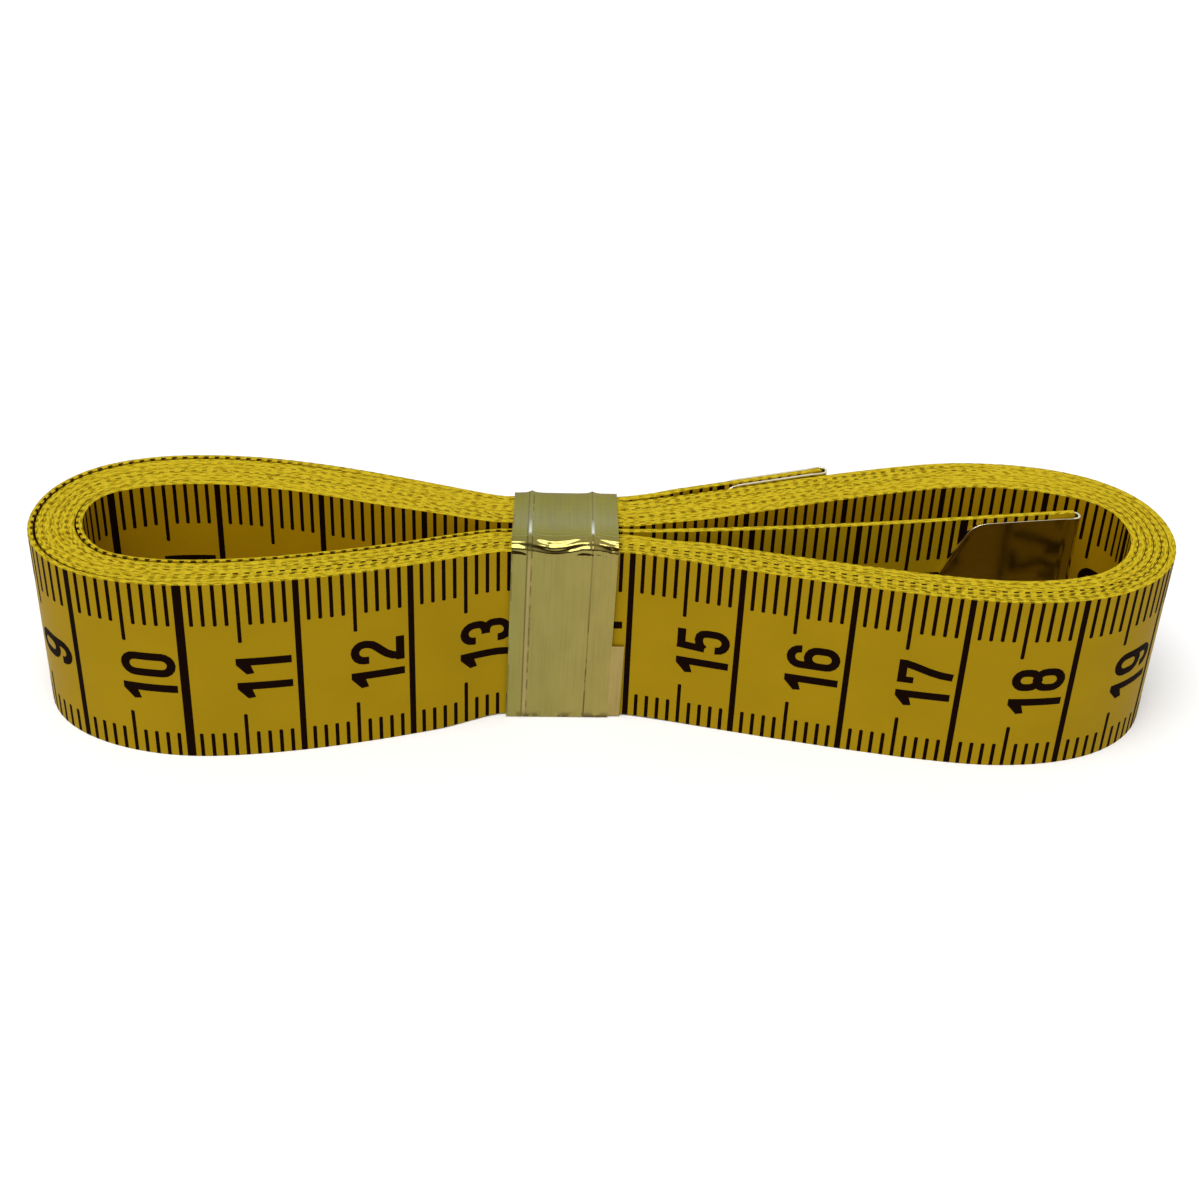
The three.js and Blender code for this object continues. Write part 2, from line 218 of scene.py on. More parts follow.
# %% [markdown]
# The two free ends leave the hank at its neck on the right. The outer one lies along the back, and the
# inner one stands in the right loop. Both are drawn by their heading, bent evenly over the bare stretch and
# straight inside the ferrule. Where an end leaves the hank the corner is eased, because cloth doesn't kink.

# %% Free ends and the whole route
FERRULE_LENGTH = 13.5 * MM
SEAM_HALF = 0.15 * MM  # straight stretch at the root of an end
OUTER_FREE = 4.78 * MM  # bare stretch from there to the ferrule
OUTER_HEADINGS = (21.5, 17.2)  # degrees, where the end leaves the hank and where it enters the ferrule
OUTER_LIFT = 0.15 * MM  # how much higher the tip stands than the root
INNER_FREE = 27.03 * MM
INNER_HEADINGS = (3, 8)
INNER_LIFT = 0
END_ROWS = 120
EASE = 3 * MM  # on both sides of a root, where its corner is rounded
STEP = 0.5 * MM  # between the ribbon's rows


def free_end(root, free, headings, lift):
    """Rows of a free end, from its root to its tip."""
    done = np.linspace(0, SEAM_HALF + free + FERRULE_LENGTH, END_ROWS)
    degrees = np.interp(done, [SEAM_HALF, SEAM_HALF + free], headings)
    heading = np.radians((degrees[1:] + degrees[:-1]) / 2)
    steps = np.diff(done)[:, None] * np.column_stack([np.cos(heading), np.sin(heading)])
    places = root[:2] + np.vstack([np.zeros(2), np.cumsum(steps, axis=0)])
    foot = NECK_LIFT + lift * smooth(done, 0, SEAM_HALF + free)
    return np.column_stack([places, foot, np.full(len(done), root[3])])


def run_length(rows):
    return np.concatenate([[0], np.cumsum(np.linalg.norm(np.diff(rows[:, :2], axis=0), axis=1))])


def rows_at(distances, run, rows):
    """Rows of a path at these distances along its run."""
    return np.column_stack([np.interp(distances, run, column) for column in rows.T])


outer_tail = free_end(wound[0], OUTER_FREE, OUTER_HEADINGS, OUTER_LIFT)
inner_tail = free_end(wound[-1], INNER_FREE, INNER_HEADINGS, INNER_LIFT)
whole = np.vstack([outer_tail[:0:-1], wound, inner_tail[1:]])
length = run_length(whole)
TAPE_LENGTH = length[-1]
OUTER_SEAM = length[len(outer_tail) - 1]
INNER_SEAM = length[len(outer_tail) + len(wound) - 2]
along = np.linspace(0, TAPE_LENGTH, round(TAPE_LENGTH / STEP) + 1)
route = rows_at(along, length, whole)
for seam in (OUTER_SEAM, INNER_SEAM):
    near = np.abs(along - seam) < EASE
    t = ((along[near] - seam) / EASE + 1)[:, None] / 2
    first, corner, last = rows_at([seam - EASE, seam, seam + EASE], length, whole)
    route[near] = (1 - t) ** 2 * first + 2 * t * (1 - t) * corner + t**2 * last
print("tape length", round(TAPE_LENGTH / MM, 1), "mm in", len(route), "rows")

# %% [markdown]
# The route was worked out round the middle of the band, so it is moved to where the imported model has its
# band. The left loop doesn't stand quite upright: its walls lean back a little between the neck and the
# loop's end.

# %% Set the route in the frame
LEFT_LEAN = 0.8 * MM  # how far a wall's lower edge stands in front of its upper one
LEAN_STARTS, LEAN_STOPS = (0.11, 0.25), (0.65, 0.95)  # shares of the left loop's reach

band_low, band_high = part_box("gold_band")
SHIFT = np.array((band_low + band_high)[:2]) / 2
left_share = -route[:, 0] / QUARTERS[0]["reach"]
right_share = route[:, 0] / QUARTERS[2]["reach"]
lean = -LEFT_LEAN * between(left_share, LEAN_STARTS, LEAN_STOPS)
tangent = unit_tangents(route[:, :2])
outward = np.column_stack([tangent[:, 1], -tangent[:, 0]])
route[:, :2] += SHIFT
print("shift", np.round(SHIFT / MM, 3), "mm, greatest lean", round(-lean.min() / MM, 2), "mm")

# %% [markdown]
# ## Shader sums
#
# A finish is mostly arithmetic on patterns, and boxes wired by hand are hard to read. The class below wraps
# one socket, so that `1 - mask` or `0.4 + 0.1 * grain` adds the Math nodes by itself. Any other node goes
# through one method: its settings first, then its sockets.


# %% A socket that can be added and multiplied
class Shade:
    """A socket in a material's nodes; a bare one is the place where nodes are added."""

    def __init__(self, tree, socket=None):
        self.tree = tree
        self.socket = socket

    def node(self, kind, settings, sockets, output=0):
        made = self.tree.nodes.new(kind)
        for name, value in settings.items():
            setattr(made, name, value)
        for name, value in sockets.items():
            if isinstance(value, Shade):
                self.tree.links.new(value.socket, made.inputs[name])
            else:
                made.inputs[name].default_value = value
        return Shade(self.tree, made.outputs[output] if made.outputs else None)

    def math(self, operation, *values):
        return self.node("ShaderNodeMath", {"operation": operation}, dict(enumerate(values)))

    def mix(self, mask, first, second):
        """A colour that goes over from first to second where the mask is 1."""
        return self.node("ShaderNodeMix", {"data_type": "RGBA"}, {0: mask, 6: first, 7: second}, output=2)

    def __add__(self, other):
        return self.math("ADD", self, other)

    def __mul__(self, other):
        return self.math("MULTIPLY", self, other)

    def __sub__(self, other):
        return self.math("SUBTRACT", self, other)

    def __rsub__(self, other):
        return self.math("SUBTRACT", other, self)

    def __abs__(self):
        return self.math("ABSOLUTE", self)

    __radd__ = __add__
    __rmul__ = __mul__

    def larger(self, other):
        return self.math("MAXIMUM", self, other)

    def clamp(self, low, high):
        """0 at low, 1 at high, held between."""
        settings = {"clamp": True}
        return self.node("ShaderNodeMapRange", settings, {"Value": self, "From Min": low, "From Max": high})

    def hill(self, rise, fall):
        """0, then 1 from the first two values to the other two, then 0 again."""
        return self.clamp(*rise) - self.clamp(*fall)

    def scaled(self, factors):
        """A vector with each part multiplied."""
        return self.node("ShaderNodeVectorMath", {"operation": "MULTIPLY"}, {0: self, 1: factors})


def new_finish(name):
    material = bpy.data.materials.new(name)
    material.use_nodes = True
    material.node_tree.nodes.clear()
    return material, Shade(material.node_tree)


def close_finish(bench, sockets):
    shader = bench.node("ShaderNodeBsdfPrincipled", {}, sockets)
    bench.node("ShaderNodeOutputMaterial", {}, {"Surface": shader})


def bump(height, strength, depth):
    return height.node("ShaderNodeBump", {}, {"Strength": strength, "Distance": depth, "Height": height})


print("shader sums ready")

# %% [markdown]
# ## Coated cloth
#
# The tape is woven and then coated, so its face is satin and almost flat, with the weave only just showing
# through and a faint cloudiness in the colour. The inner face is a little more orange: painted bounce light,
# for the yellow light that the loops' walls throw onto each other. A picture of the weave would repeat and
# blur, so noise is laid on a map in millimetres, along and round the tape. It keeps the weave straight in
# every loop and tells the two faces apart.

# %% Finish of the coated face
CLOTH_MAP = "cloth"  # millimetres along and round the tape: outer face, edge, inner face, edge
FACE_SPAN = TAPE_WIDTH / MM
EDGE_SPAN = 0.7  # millimetres of the map that run across a woven edge
OUTER_COAT = [(0.415, 0.257, 0.0028, 1), (0.445, 0.277, 0.0034, 1)]  # the tones of its clouds
# the inner face's more orange tone is painted bounce light from the loops' yellow walls
INNER_COAT_WITH_BOUNCE = [(0.440, 0.248, 0.001, 1), (0.472, 0.267, 0.0012, 1)]


def map_axes(bench, name):
    """A piece's map in millimetres, and its two coordinates."""
    place = bench.node("ShaderNodeUVMap", {"uv_map": name}, {})
    first, second = (bench.node("ShaderNodeSeparateXYZ", {}, {"Vector": place}, output=axis) for axis in "XY")
    return place, first, second


def grain(place, length, width, detail):
    """Noise on a map, with grains about so many millimetres long and wide."""
    sockets = {"Vector": place.scaled((1 / length, 1 / width, 1)), "Scale": 1.0, "Detail": detail}
    return place.node("ShaderNodeTexNoise", {"noise_dimensions": "2D"}, sockets)


def coated_cloth():
    material, bench = new_finish("coated_cloth")
    cloth, _, around = map_axes(bench, CLOTH_MAP)
    clouds = grain(cloth, 9, 6, 3.0).clamp(0.3, 0.7)
    specks = grain(cloth, 0.5, 0.35, 2.0)
    threads = grain(cloth, 0.9, 0.16, 1.0)
    inner_face = around.clamp(FACE_SPAN, FACE_SPAN + EDGE_SPAN)
    # the inner face takes the more orange tone of painted bounce light
    colour = bench.mix(inner_face, bench.mix(clouds, *OUTER_COAT), bench.mix(clouds, *INNER_COAT_WITH_BOUNCE))
    weave = bump(0.6 * threads + 0.4 * specks, 0.12, 0.05 * MM)
    gloss = 0.5 + 0.08 * (specks - 0.5) + 0.06 * clouds
    sockets = {"Base Color": colour, "Roughness": gloss, "Normal": weave, "Specular IOR Level": 0.06}
    close_finish(bench, sockets)
    return material


COATED_CLOTH = coated_cloth()
print("made", COATED_CLOTH.name)

# %% [markdown]
# ## Woven edge
#
# Along its long edges the coating stops and the yarns show: bright streaks a millimetre long, with darker
# slits between them. The brightest yarn tone is a painted sheen, and the slits are painted shade between
# the yarns. The ticks of both faces run out over the edge and leave a dark dash at every millimetre, most
# of all where two turns stand apart. Yarns modelled one by one would be too many to see, so stretched noise
# gives them, and the map in millimetres gives the dashes.

# %% Finish of the woven edge
DASH_HALF = (0.19, 0.27)  # millimetres along from the middle of a dash: dark to the first, gone at the second
DARK_DASH = (0.24, 0.4)  # the same for its depth in from the rim
FAINT_DASH = (0.12, 0.24)
FAINT_STRENGTH = 0.65
WEAR_LENGTH = 30  # millimetres over which the faint dashes come and go
OUTER_RIM_ZONES = [(1412, 1468, 1.0)]  # first and last reading and strength of the dark dashes
INNER_RIM_ZONES = [(50, 86, 1.0), (145, 186, 0.6), (335, 422, 0.8), (560, 648, 1.0)]
ZONE_FADE = 5
# the lighter yarn tone is a painted sheen; the slit colour is painted shade between the yarns
YARN_AND_SHEEN = [(0.48, 0.345, 0.003, 1), (0.70, 0.535, 0.03, 1)]
SLIT_SHADE = (0.30, 0.195, 0.001, 1)
DASH = (0.02, 0.005, 0.001, 1)


def rim_dashes(bench, reading, around, rims, zones):
    """Dark dashes along the rims of one face, strong in some zones of the scale and faint elsewhere."""
    inward = bench.math("MINIMUM", *(abs(around - rim) for rim in rims))
    dash = 1 - abs(bench.math("FRACT", reading + 0.5) - 0.5).clamp(*DASH_HALF)
    worn = grain(bench.node("ShaderNodeCombineXYZ", {}, {"X": reading, "Y": rims[0]}), WEAR_LENGTH, 1, 1.0)
    faint = FAINT_STRENGTH * worn.clamp(0.36, 0.6) * (1 - inward.clamp(*FAINT_DASH))
    strength = 0
    for first, last, dark in zones:
        rise, fall = ((place - ZONE_FADE, place + ZONE_FADE) for place in (first, last))
        strength = strength + dark * reading.hill(rise, fall)
    return dash * faint.larger((1 - inward.clamp(*DARK_DASH)) * strength)


def woven_edge():
    material, bench = new_finish("woven_edge")
    cloth, reading, around = map_axes(bench, CLOTH_MAP)
    yarns = grain(cloth, 0.8, 0.17, 1.5).clamp(0.32, 0.52)
    # mask of the painted sheen on the yarns
    fibre_sheen = grain(cloth, 0.25, 0.06, 1.0)
    bare = bench.mix(yarns, SLIT_SHADE, bench.mix(fibre_sheen, *YARN_AND_SHEEN))
    far_rim = 2 * FACE_SPAN + EDGE_SPAN
    outer_rims = [FACE_SPAN, far_rim + EDGE_SPAN]
    inner_rims = [FACE_SPAN + EDGE_SPAN, far_rim]
    outer_dashes = rim_dashes(bench, reading, around, outer_rims, OUTER_RIM_ZONES)
    inner_dashes = rim_dashes(bench, reading, around, inner_rims, INNER_RIM_ZONES)
    colour = bench.mix(outer_dashes + inner_dashes, bare, DASH)
    relief = bump(yarns, 0.35, 0.06 * MM)
    gloss = 0.75 - 0.1 * yarns
    sockets = {"Base Color": colour, "Roughness": gloss, "Normal": relief, "Specular IOR Level": 0.02}
    close_finish(bench, sockets)
    return material


WOVEN_EDGE = woven_edge()
print("made", WOVEN_EDGE.name)

# %% [markdown]
# ## The ribbon
#
# The tape is a closed ribbon of its true thickness. It nearly fills the pitch, because the real turns lie
# against each other, but the first and the last turn stand off a little, and the ferrules press the tips
# flat.

# %% Thickness along the tape
TURN_CLEARANCE = 0.02 * MM  # left free between two turns
OPEN_SEAM = 0.22 * MM  # more where the first and the last turn stand off
FIRST_OPENS, FIRST_CLOSES = (35 * MM, 60 * MM), (80 * MM, 105 * MM)  # along the tape
LAST_OPENS, LAST_CLOSES = (-65 * MM, -45 * MM), (-15 * MM, 0)  # from the root of the inner end
END_SEAM = 0.055 * MM  # and at the right loop's end, where the turns spread
SPREAD = (0.82, 0.96)  # shares of the right loop's reach
TIP_THICKNESS = 0.54 * MM  # where a ferrule pinches the tape
PRESSED_RUN = 2 * MM  # from the ferrule to the full thickness

first_turn = between(along, FIRST_OPENS, FIRST_CLOSES)
last_turn = between(along - INNER_SEAM, LAST_OPENS, LAST_CLOSES)
gaps = TURN_CLEARANCE + OPEN_SEAM * (first_turn + last_turn) + END_SEAM * smooth(right_share, *SPREAD)
full_thickness = route[:, 3] - gaps
tip_distance = np.minimum(along, TAPE_LENGTH - along)
unpressed = smooth(tip_distance, FERRULE_LENGTH, FERRULE_LENGTH + PRESSED_RUN)
half_thickness = (TIP_THICKNESS + (full_thickness - TIP_THICKNESS) * unpressed) / 2
route[:, :2] += outward * ((first_turn - last_turn) * OPEN_SEAM / 2)[:, None]


def on_tape(distance, up, out):
    """Points on the tape: distance from its outer tip, height above its lower edge, out from its middle."""
    x, y, foot = (np.interp(distance, along, route[:, k]) for k in range(3))
    nx, ny = (np.interp(distance, along, outward[:, k]) for k in range(2))
    leaning = np.interp(distance, along, lean) * (1 - up / TAPE_WIDTH)
    return np.stack([x + nx * out, y + ny * out + leaning, foot + up], axis=-1)


def half_at(distance):
    return np.interp(distance, along, half_thickness)


thinnest, thickest = (round(2 * half / MM, 2) for half in (half_thickness.min(), half_thickness.max()))
print("thickness from", thinnest, "to", thickest, "mm")

# %% [markdown]
# The ribbon's section is a flat ring of points: two broad faces, narrow chamfers and the woven edges. A
# curve with a bevel could sweep it, but its section can twist on the way. Rows of points set along the
# route keep every section upright, and give each face its place on the cloth map.

# %% Section of the ribbon
CHAMFER = 0.03 * MM
FACE_ROWS = 5
COATED, WOVEN = 0, 1

# Side of the middle, distance in from the face, height, and finish of the stretch that follows
heights = np.linspace(CHAMFER, TAPE_WIDTH - CHAMFER, FACE_ROWS).tolist()
SECTION = [
    *((1, 0, height, COATED) for height in heights[:-1]),
    (1, 0, heights[-1], WOVEN),
    (1, CHAMFER, TAPE_WIDTH, WOVEN),
    (0, 0, TAPE_WIDTH, WOVEN),
    (-1, CHAMFER, TAPE_WIDTH, WOVEN),
    *((-1, 0, height, COATED) for height in heights[:0:-1]),
    (-1, 0, heights[0], WOVEN),
    (-1, CHAMFER, 0, WOVEN),
    (0, 0, 0, WOVEN),
    (1, CHAMFER, 0, WOVEN),
]


def section_map():
    """Place of each section point on the cloth map, in millimetres round the tape."""
    rim = CHAMFER / MM
    half = []
    for start in (0, FACE_SPAN + EDGE_SPAN):
        edge = start + FACE_SPAN
        half += np.linspace(start, edge, FACE_ROWS).tolist()
        half += [edge + rim, edge + EDGE_SPAN / 2, edge + EDGE_SPAN - rim]
    return np.array(half + [2 * (FACE_SPAN + EDGE_SPAN)])


print("points in the section:", len(SECTION))

# %% Ribbon of cloth
FRAY = 0.02 * MM  # unevenness of the woven edges
FRAY_SEED = 7
CLOTH_CREASE = 30  # degrees; sharper edges aren't smoothed
OUTER_ZERO = 0.28 * MM  # distance from the outer tip to the outer face's zero
INNER_ZERO = TAPE_LENGTH - 0.68 * MM  # the inner face counts back from here


def new_piece(name, points, faces, materials):
    mesh = bpy.data.meshes.new(name)
    mesh.from_pydata(np.asarray(points).reshape(-1, 3).tolist(), [], faces)
    for material in materials:
        mesh.materials.append(material)
    piece = bpy.data.objects.new(name, mesh)
    bpy.context.scene.collection.objects.link(piece)
    return piece


def set_map(piece, name, coordinates):
    """Give a piece a map, with one pair of coordinates for each corner of its faces."""
    piece.data.uv_layers.new(name=name).data.foreach_set("uv", coordinates.astype(np.float32).ravel())


def soften(piece, crease):
    piece.data.shade_smooth()
    piece.data.set_sharp_from_angle(angle=math.radians(crease))


def ribbon(name, first, last):
    """The tape between two distances from its outer tip."""
    inside = along[(along > first + STEP / 4) & (along < last - STEP / 4)]
    stations = np.concatenate([[first], inside, [last]])
    side, inset, height, finish = (np.array(column) for column in zip(*SECTION))
    ring = len(SECTION)
    out = side * (half_at(stations)[:, None] - inset)
    rng = np.random.default_rng(FRAY_SEED)
    fray = rng.uniform(-1, 0, (len(stations), ring)) * FRAY * np.isin(height, (0, TAPE_WIDTH))
    up = height + np.where(height > TAPE_WIDTH / 2, fray, -fray)
    points = on_tape(stations[:, None] + 0 * out, up, out)
    faces = []
    for r in range(len(stations) - 1):
        a, b = r * ring, (r + 1) * ring
        faces += [(a + c, b + c, b + (c + 1) % ring, a + (c + 1) % ring) for c in range(ring)]
    last_row = (len(stations) - 1) * ring
    faces += [tuple(range(ring)), tuple(range(last_row + ring - 1, last_row - 1, -1))]
    piece = new_piece(name, points, faces, [COATED_CLOTH, WOVEN_EDGE])
    finishes = np.append(np.tile(finish, len(stations) - 1), [WOVEN, WOVEN])
    piece.data.polygons.foreach_set("material_index", finishes)
    u = (stations - OUTER_ZERO) / MM
    v = section_map()
    us = np.stack([u[:-1], u[1:], u[1:], u[:-1]], axis=-1)[:, None, :]
    vs = np.stack([v[:-1], v[:-1], v[1:], v[1:]], axis=-1)[None, :, :]
    quads = np.stack(np.broadcast_arrays(us, vs), axis=-1).reshape(-1, 2)
    caps = np.column_stack([np.repeat([u[0], u[-1]], ring), np.concatenate([v[:-1], v[-2::-1]])])
    set_map(piece, CLOTH_MAP, np.vstack([quads, caps]))
    soften(piece, CLOTH_CREASE)
    return piece


wound_tape = ribbon("wound_tape", OUTER_SEAM, INNER_SEAM)
outer_end = ribbon("outer_end_tape", 0, OUTER_SEAM)
inner_end = ribbon("inner_end_tape", INNER_SEAM, TAPE_LENGTH)
print("ribbon faces:", len(wound_tape.data.polygons))

# %% [markdown]
# ## Printed scale
#
# Millimetre ticks stand on both edges, longer ones mark the half centimetres, and a line crosses the tape
# at every centimetre, heavier at every tenth. An image texture would blur on a tape this long, so each mark
# is a thin plate of ink that lies on the cloth.

# %% Ink and the plates it is made of
INK_RISE = 0.015 * MM
INK_SINK = 0.03 * MM
INK = [(0.006, 0.0015, 0.0006, 1), (0.010, 0.0035, 0.0015, 1)]


def in_millimetres(bench):
    """The place on a piece, in millimetres."""
    return bench.node("ShaderNodeTexCoord", {}, {}, output="Object").scaled((1 / MM,) * 3)


def mottle(place, scale, detail):
    """Noise through a solid."""
    return place.node("ShaderNodeTexNoise", {}, {"Vector": place, "Scale": scale, "Detail": detail})


def printing_ink():
    material, bench = new_finish("printing_ink")
    specks = mottle(in_millimetres(bench), 2.5, 3.0)
    colour = bench.mix(specks, *INK)
    close_finish(bench, {"Base Color": colour, "Roughness": 0.5 + 0.2 * specks, "Specular IOR Level": 0.015})
    return material


PRINTING_INK = printing_ink()


def rim_of(faces):
    """Edges that only one face has, in that face's direction."""
    edges = [(f[k], f[(k + 1) % len(f)]) for f in faces for k in range(len(f))]
    known = set(edges)
    return [(a, b) for a, b in edges if (b, a) not in known]


def thickened(faces, count):
    """Broad faces and rim of a closed sheet between two lots of points, the second of them outside."""
    over = [tuple(k + count for k in face) for face in faces]
    under = [tuple(reversed(face)) for face in faces]
    rim = [(a, b, b + count, a + count) for a, b in rim_of(faces)]
    return over + under, rim


def plates(shape, faces, places, outer):
    """Closed plates of one flat shape, laid on a face of the tape at several places on its scale."""
    shape = np.asarray(shape, float)
    places = np.asarray(places, float)
    reading = places[:, None, 0] + shape[None, :, 0]
    up = places[:, None, 1] + shape[None, :, 1]
    distance = OUTER_ZERO + reading if outer else INNER_ZERO - reading
    side = 1 if outer else -1
    levels = [on_tape(distance, up, side * (half_at(distance) + rise)) for rise in (-INK_SINK, INK_RISE)]
    points = np.concatenate(levels, axis=1)
    count = len(shape)
    broad, rim = thickened(faces, count)
    made = [tuple(k + 2 * count * copy for k in face) for copy in range(len(places)) for face in broad + rim]
    return points.reshape(-1, 3), made


print("made", PRINTING_INK.name)

# %% [markdown]
# A tick or a line is a flat outline round its place on the scale. The ticks have blunt ends, as printed
# ones do. Each shape is drawn once and listed with all the readings that it marks, so that one call prints
# them all.

# %% Ticks and lines
TICK_WIDTH = 0.33 * MM
LINE_WIDTH = 0.54 * MM
TENTH_LINE_WIDTH = 0.77 * MM
TOP_TICK, TOP_HALF = 4.2 * MM, 6.0 * MM
BOTTOM_TICK, BOTTOM_HALF = 2.5 * MM, 4.45 * MM
INK_MARGIN = 0.05 * MM  # left bare along the rims
LAST_CENTIMETRE = 150
SPARE = 8  # millimetres of ticks past the last line, under the ferrule


def tick(length, from_top):
    """A tick with a blunt end, standing on the lower edge or hanging from the upper one."""
    half = TICK_WIDTH / 2
    blunt = [(half, length - half / 2), (half / 2, length), (-half / 2, length), (-half, length - half / 2)]
    shape = np.array([(-half, INK_MARGIN), (half, INK_MARGIN)] + blunt)
    return shape * (-1, -1) + (0, TAPE_WIDTH) if from_top else shape


def line(width):
    half = width / 2
    low, high = INK_MARGIN, TAPE_WIDTH - INK_MARGIN
    return np.array([(-half, low), (half, low), (half, high), (-half, high)])


def marks(first, last):
    """Shapes and the millimetres that they stand at, between two readings."""
    readings = np.arange(max(first, 0), min(last, 10 * LAST_CENTIMETRE + SPARE) + 1)
    ones = readings[readings % 5 != 0]
    fives = readings[readings % 10 == 5]
    tens = readings[readings % 100 == 0]
    lines = readings[(readings % 10 == 0) & (readings % 100 != 0)]
    return [
        (tick(TOP_TICK, True), ones),
        (tick(BOTTOM_TICK, False), ones),
        (tick(TOP_HALF, True), fives),
        (tick(BOTTOM_HALF, False), fives),
        (line(LINE_WIDTH), lines),
        (line(TENTH_LINE_WIDTH), tens),
    ]


print("tick at 1 mm:", np.round(tick(TOP_TICK, True)[0] / MM, 2))

# %% [markdown]
# ## Numbers
#
# The numbers are narrow bold figures that read up the tape. A font would bring its own letter shapes, so
# each figure is drawn here as strokes of one pen, in millimetres from its lower left corner.

# %% Strokes of the figures
FIGURE_HEIGHT = 4.83
FIGURE_WIDTH = 2.46
PEN = 0.76
LEFT, RIGHT = PEN / 2, FIGURE_WIDTH - PEN / 2
BOTTOM, TOP = PEN / 2, FIGURE_HEIGHT - PEN / 2
BOWL = (RIGHT - LEFT) / 2
MIDDLE = FIGURE_WIDTH / 2
SAME_POINT = 1e-6  # points closer than this are one


def arc(x, y, width, height, start, stop, steps=8):
    """Points on an ellipse between two angles in degrees."""
    angles = np.radians(np.linspace(start, stop, steps + 1))
    return [(x + width * math.cos(a), y + height * math.sin(a)) for a in angles]


def curve(*points, steps=7):
    return [tuple(p) for p in bezier(points, steps)]


def pen_stroke(points):
    """Outline of a line drawn with the pen."""
    points = np.array(points, float)
    points = points[np.append(True, np.linalg.norm(np.diff(points, axis=0), axis=1) > SAME_POINT)]
    steps = np.diff(points, axis=0)
    steps /= np.linalg.norm(steps, axis=1)[:, None]
    normals = np.column_stack([-steps[:, 1], steps[:, 0]])
    before = np.vstack([normals[:1], normals])
    after = np.vstack([normals, normals[-1:]])
    mitre = (before + after) / (1 + np.sum(before * after, axis=1))[:, None]
    return np.vstack([points - mitre * PEN / 2, (points + mitre * PEN / 2)[::-1]])


def turned(strokes):
    """A figure turned upside down."""
    return [np.array((FIGURE_WIDTH, FIGURE_HEIGHT)) - stroke for stroke in strokes]


def top_arch(low_left, low_right):
    """A stroke up the left side, round the top and down the right side."""
    return [(LEFT, low_left), *arc(MIDDLE, TOP - BOWL, BOWL, BOWL, 180, 0), (RIGHT, low_right)]


def bottom_arch(high_left, high_right):
    return [(LEFT, high_left), *arc(MIDDLE, BOTTOM + BOWL, BOWL, BOWL, 180, 360), (RIGHT, high_right)]


def bar(low):
    """A stroke straight across the figure."""
    return np.array([(0, low), (FIGURE_WIDTH, low), (FIGURE_WIDTH, low + PEN), (0, low + PEN)])


print("pen", PEN, "mm on figures", FIGURE_HEIGHT, "mm high")

# %% [markdown]
# A figure is one to four strokes: arches, straight bars and curves with two pulls. Closed rings are two
# arches that lap, because the outline of a closed stroke would have a hole in it. The nine is the six
# turned upside down.

# %% The ten figures
RUN_IN = 0.02  # strokes that meet run into each other by this much


def ring_figure(low, high, inset=0.0):
    """A closed upright ring, as two arches that lap."""
    left, right = LEFT + inset, RIGHT - inset
    bowl = (right - left) / 2
    rise = min(bowl, (high - low) / 2)
    half = (low + high) / 2
    over = [(left, half - RUN_IN), *arc(MIDDLE, high - rise, bowl, rise, 180, 0), (right, half - RUN_IN)]
    under = [(left, half + RUN_IN), *arc(MIDDLE, low + rise, bowl, rise, 180, 360), (right, half + RUN_IN)]
    return [pen_stroke(over), pen_stroke(under)]


def one():
    stem = [(0.95, 0), (1.71, 0), (1.71, FIGURE_HEIGHT), (1.06, FIGURE_HEIGHT)]
    return [np.array(stem + [(0.03, 3.95), (0.12, 3.3), (0.95, 3.55)])]


def two():
    sweep = curve((RIGHT, 3.4), (RIGHT, 2.3), (LEFT + 0.05, 2.0), (LEFT + 0.05, 0.3))
    return [pen_stroke(top_arch(3.2, 3.4)[:-1] + sweep), bar(0)]


def three():
    upper = top_arch(3.4, 3.2)[:-1] + curve((RIGHT, 3.2), (RIGHT, 2.75), (1.7, 2.47), (1.0, 2.47))
    lower = bottom_arch(1.35, 1.75)[:-1] + curve((RIGHT, 1.75), (RIGHT, 2.2), (1.7, 2.47), (1.0, 2.47))
    return [pen_stroke(upper), pen_stroke(lower)]


def four():
    slope = pen_stroke([(1.45, FIGURE_HEIGHT), (LEFT, 1.6), (LEFT, 1.2)])
    stem = pen_stroke([(1.75, 0), (1.75, 2.5)])
    return [slope, bar(0.9), stem]


def five():
    flag = pen_stroke([(2.3, TOP), (0.2, TOP)])
    stem = pen_stroke([(0.2 + PEN / 2, FIGURE_HEIGHT), (LEFT, 2.3)])
    hook = curve((LEFT, 2.35), (0.7, 2.95), (RIGHT, 3.2), (RIGHT, 2.1))
    bowl = bottom_arch(1.35, 2.1)[::-1]
    return [flag, stem, pen_stroke(hook + bowl[1:])]


def six():
    back = [(RIGHT, 3.5), *arc(MIDDLE, TOP - BOWL, BOWL, BOWL, 0, 180), (LEFT, 1.5)]
    return [pen_stroke(back), *ring_figure(BOTTOM, 2.9)]


def seven():
    hook = np.array([(0, 3.4), (0.66, 3.4), (0.66, FIGURE_HEIGHT), (0, FIGURE_HEIGHT)])
    leg = curve((RIGHT, 4.6), (RIGHT, 3.3), (1.15, 2.2), (1.05, 0))
    return [bar(FIGURE_HEIGHT - PEN), hook, pen_stroke(leg)]


def eight():
    return ring_figure(BOTTOM, 2.6) + ring_figure(2.45, TOP, 0.06)


FIGURES = [
    ring_figure(BOTTOM, TOP), one(), two(), three(), four(),
    five(), six(), seven(), eight(), turned(six()),
]
print("figures:", len(FIGURES))

# %% [markdown]
# The strokes of a figure overlap, and ink that lies twice in one place would flicker. A boolean for each
# figure could join them. A triangulation of all its outlines at once is quicker and also takes cuts across
# the figure, which let it bend with the cloth.

# %% Join each figure's strokes
CUT = 0.6  # millimetres between the cuts across a figure
CUT_PAST = 1  # how far a cut runs out on both sides
INSIDE_OUTLINES = 1  # the triangles that are asked for
CLOSENESS = 1e-5  # within which the triangulation takes points together


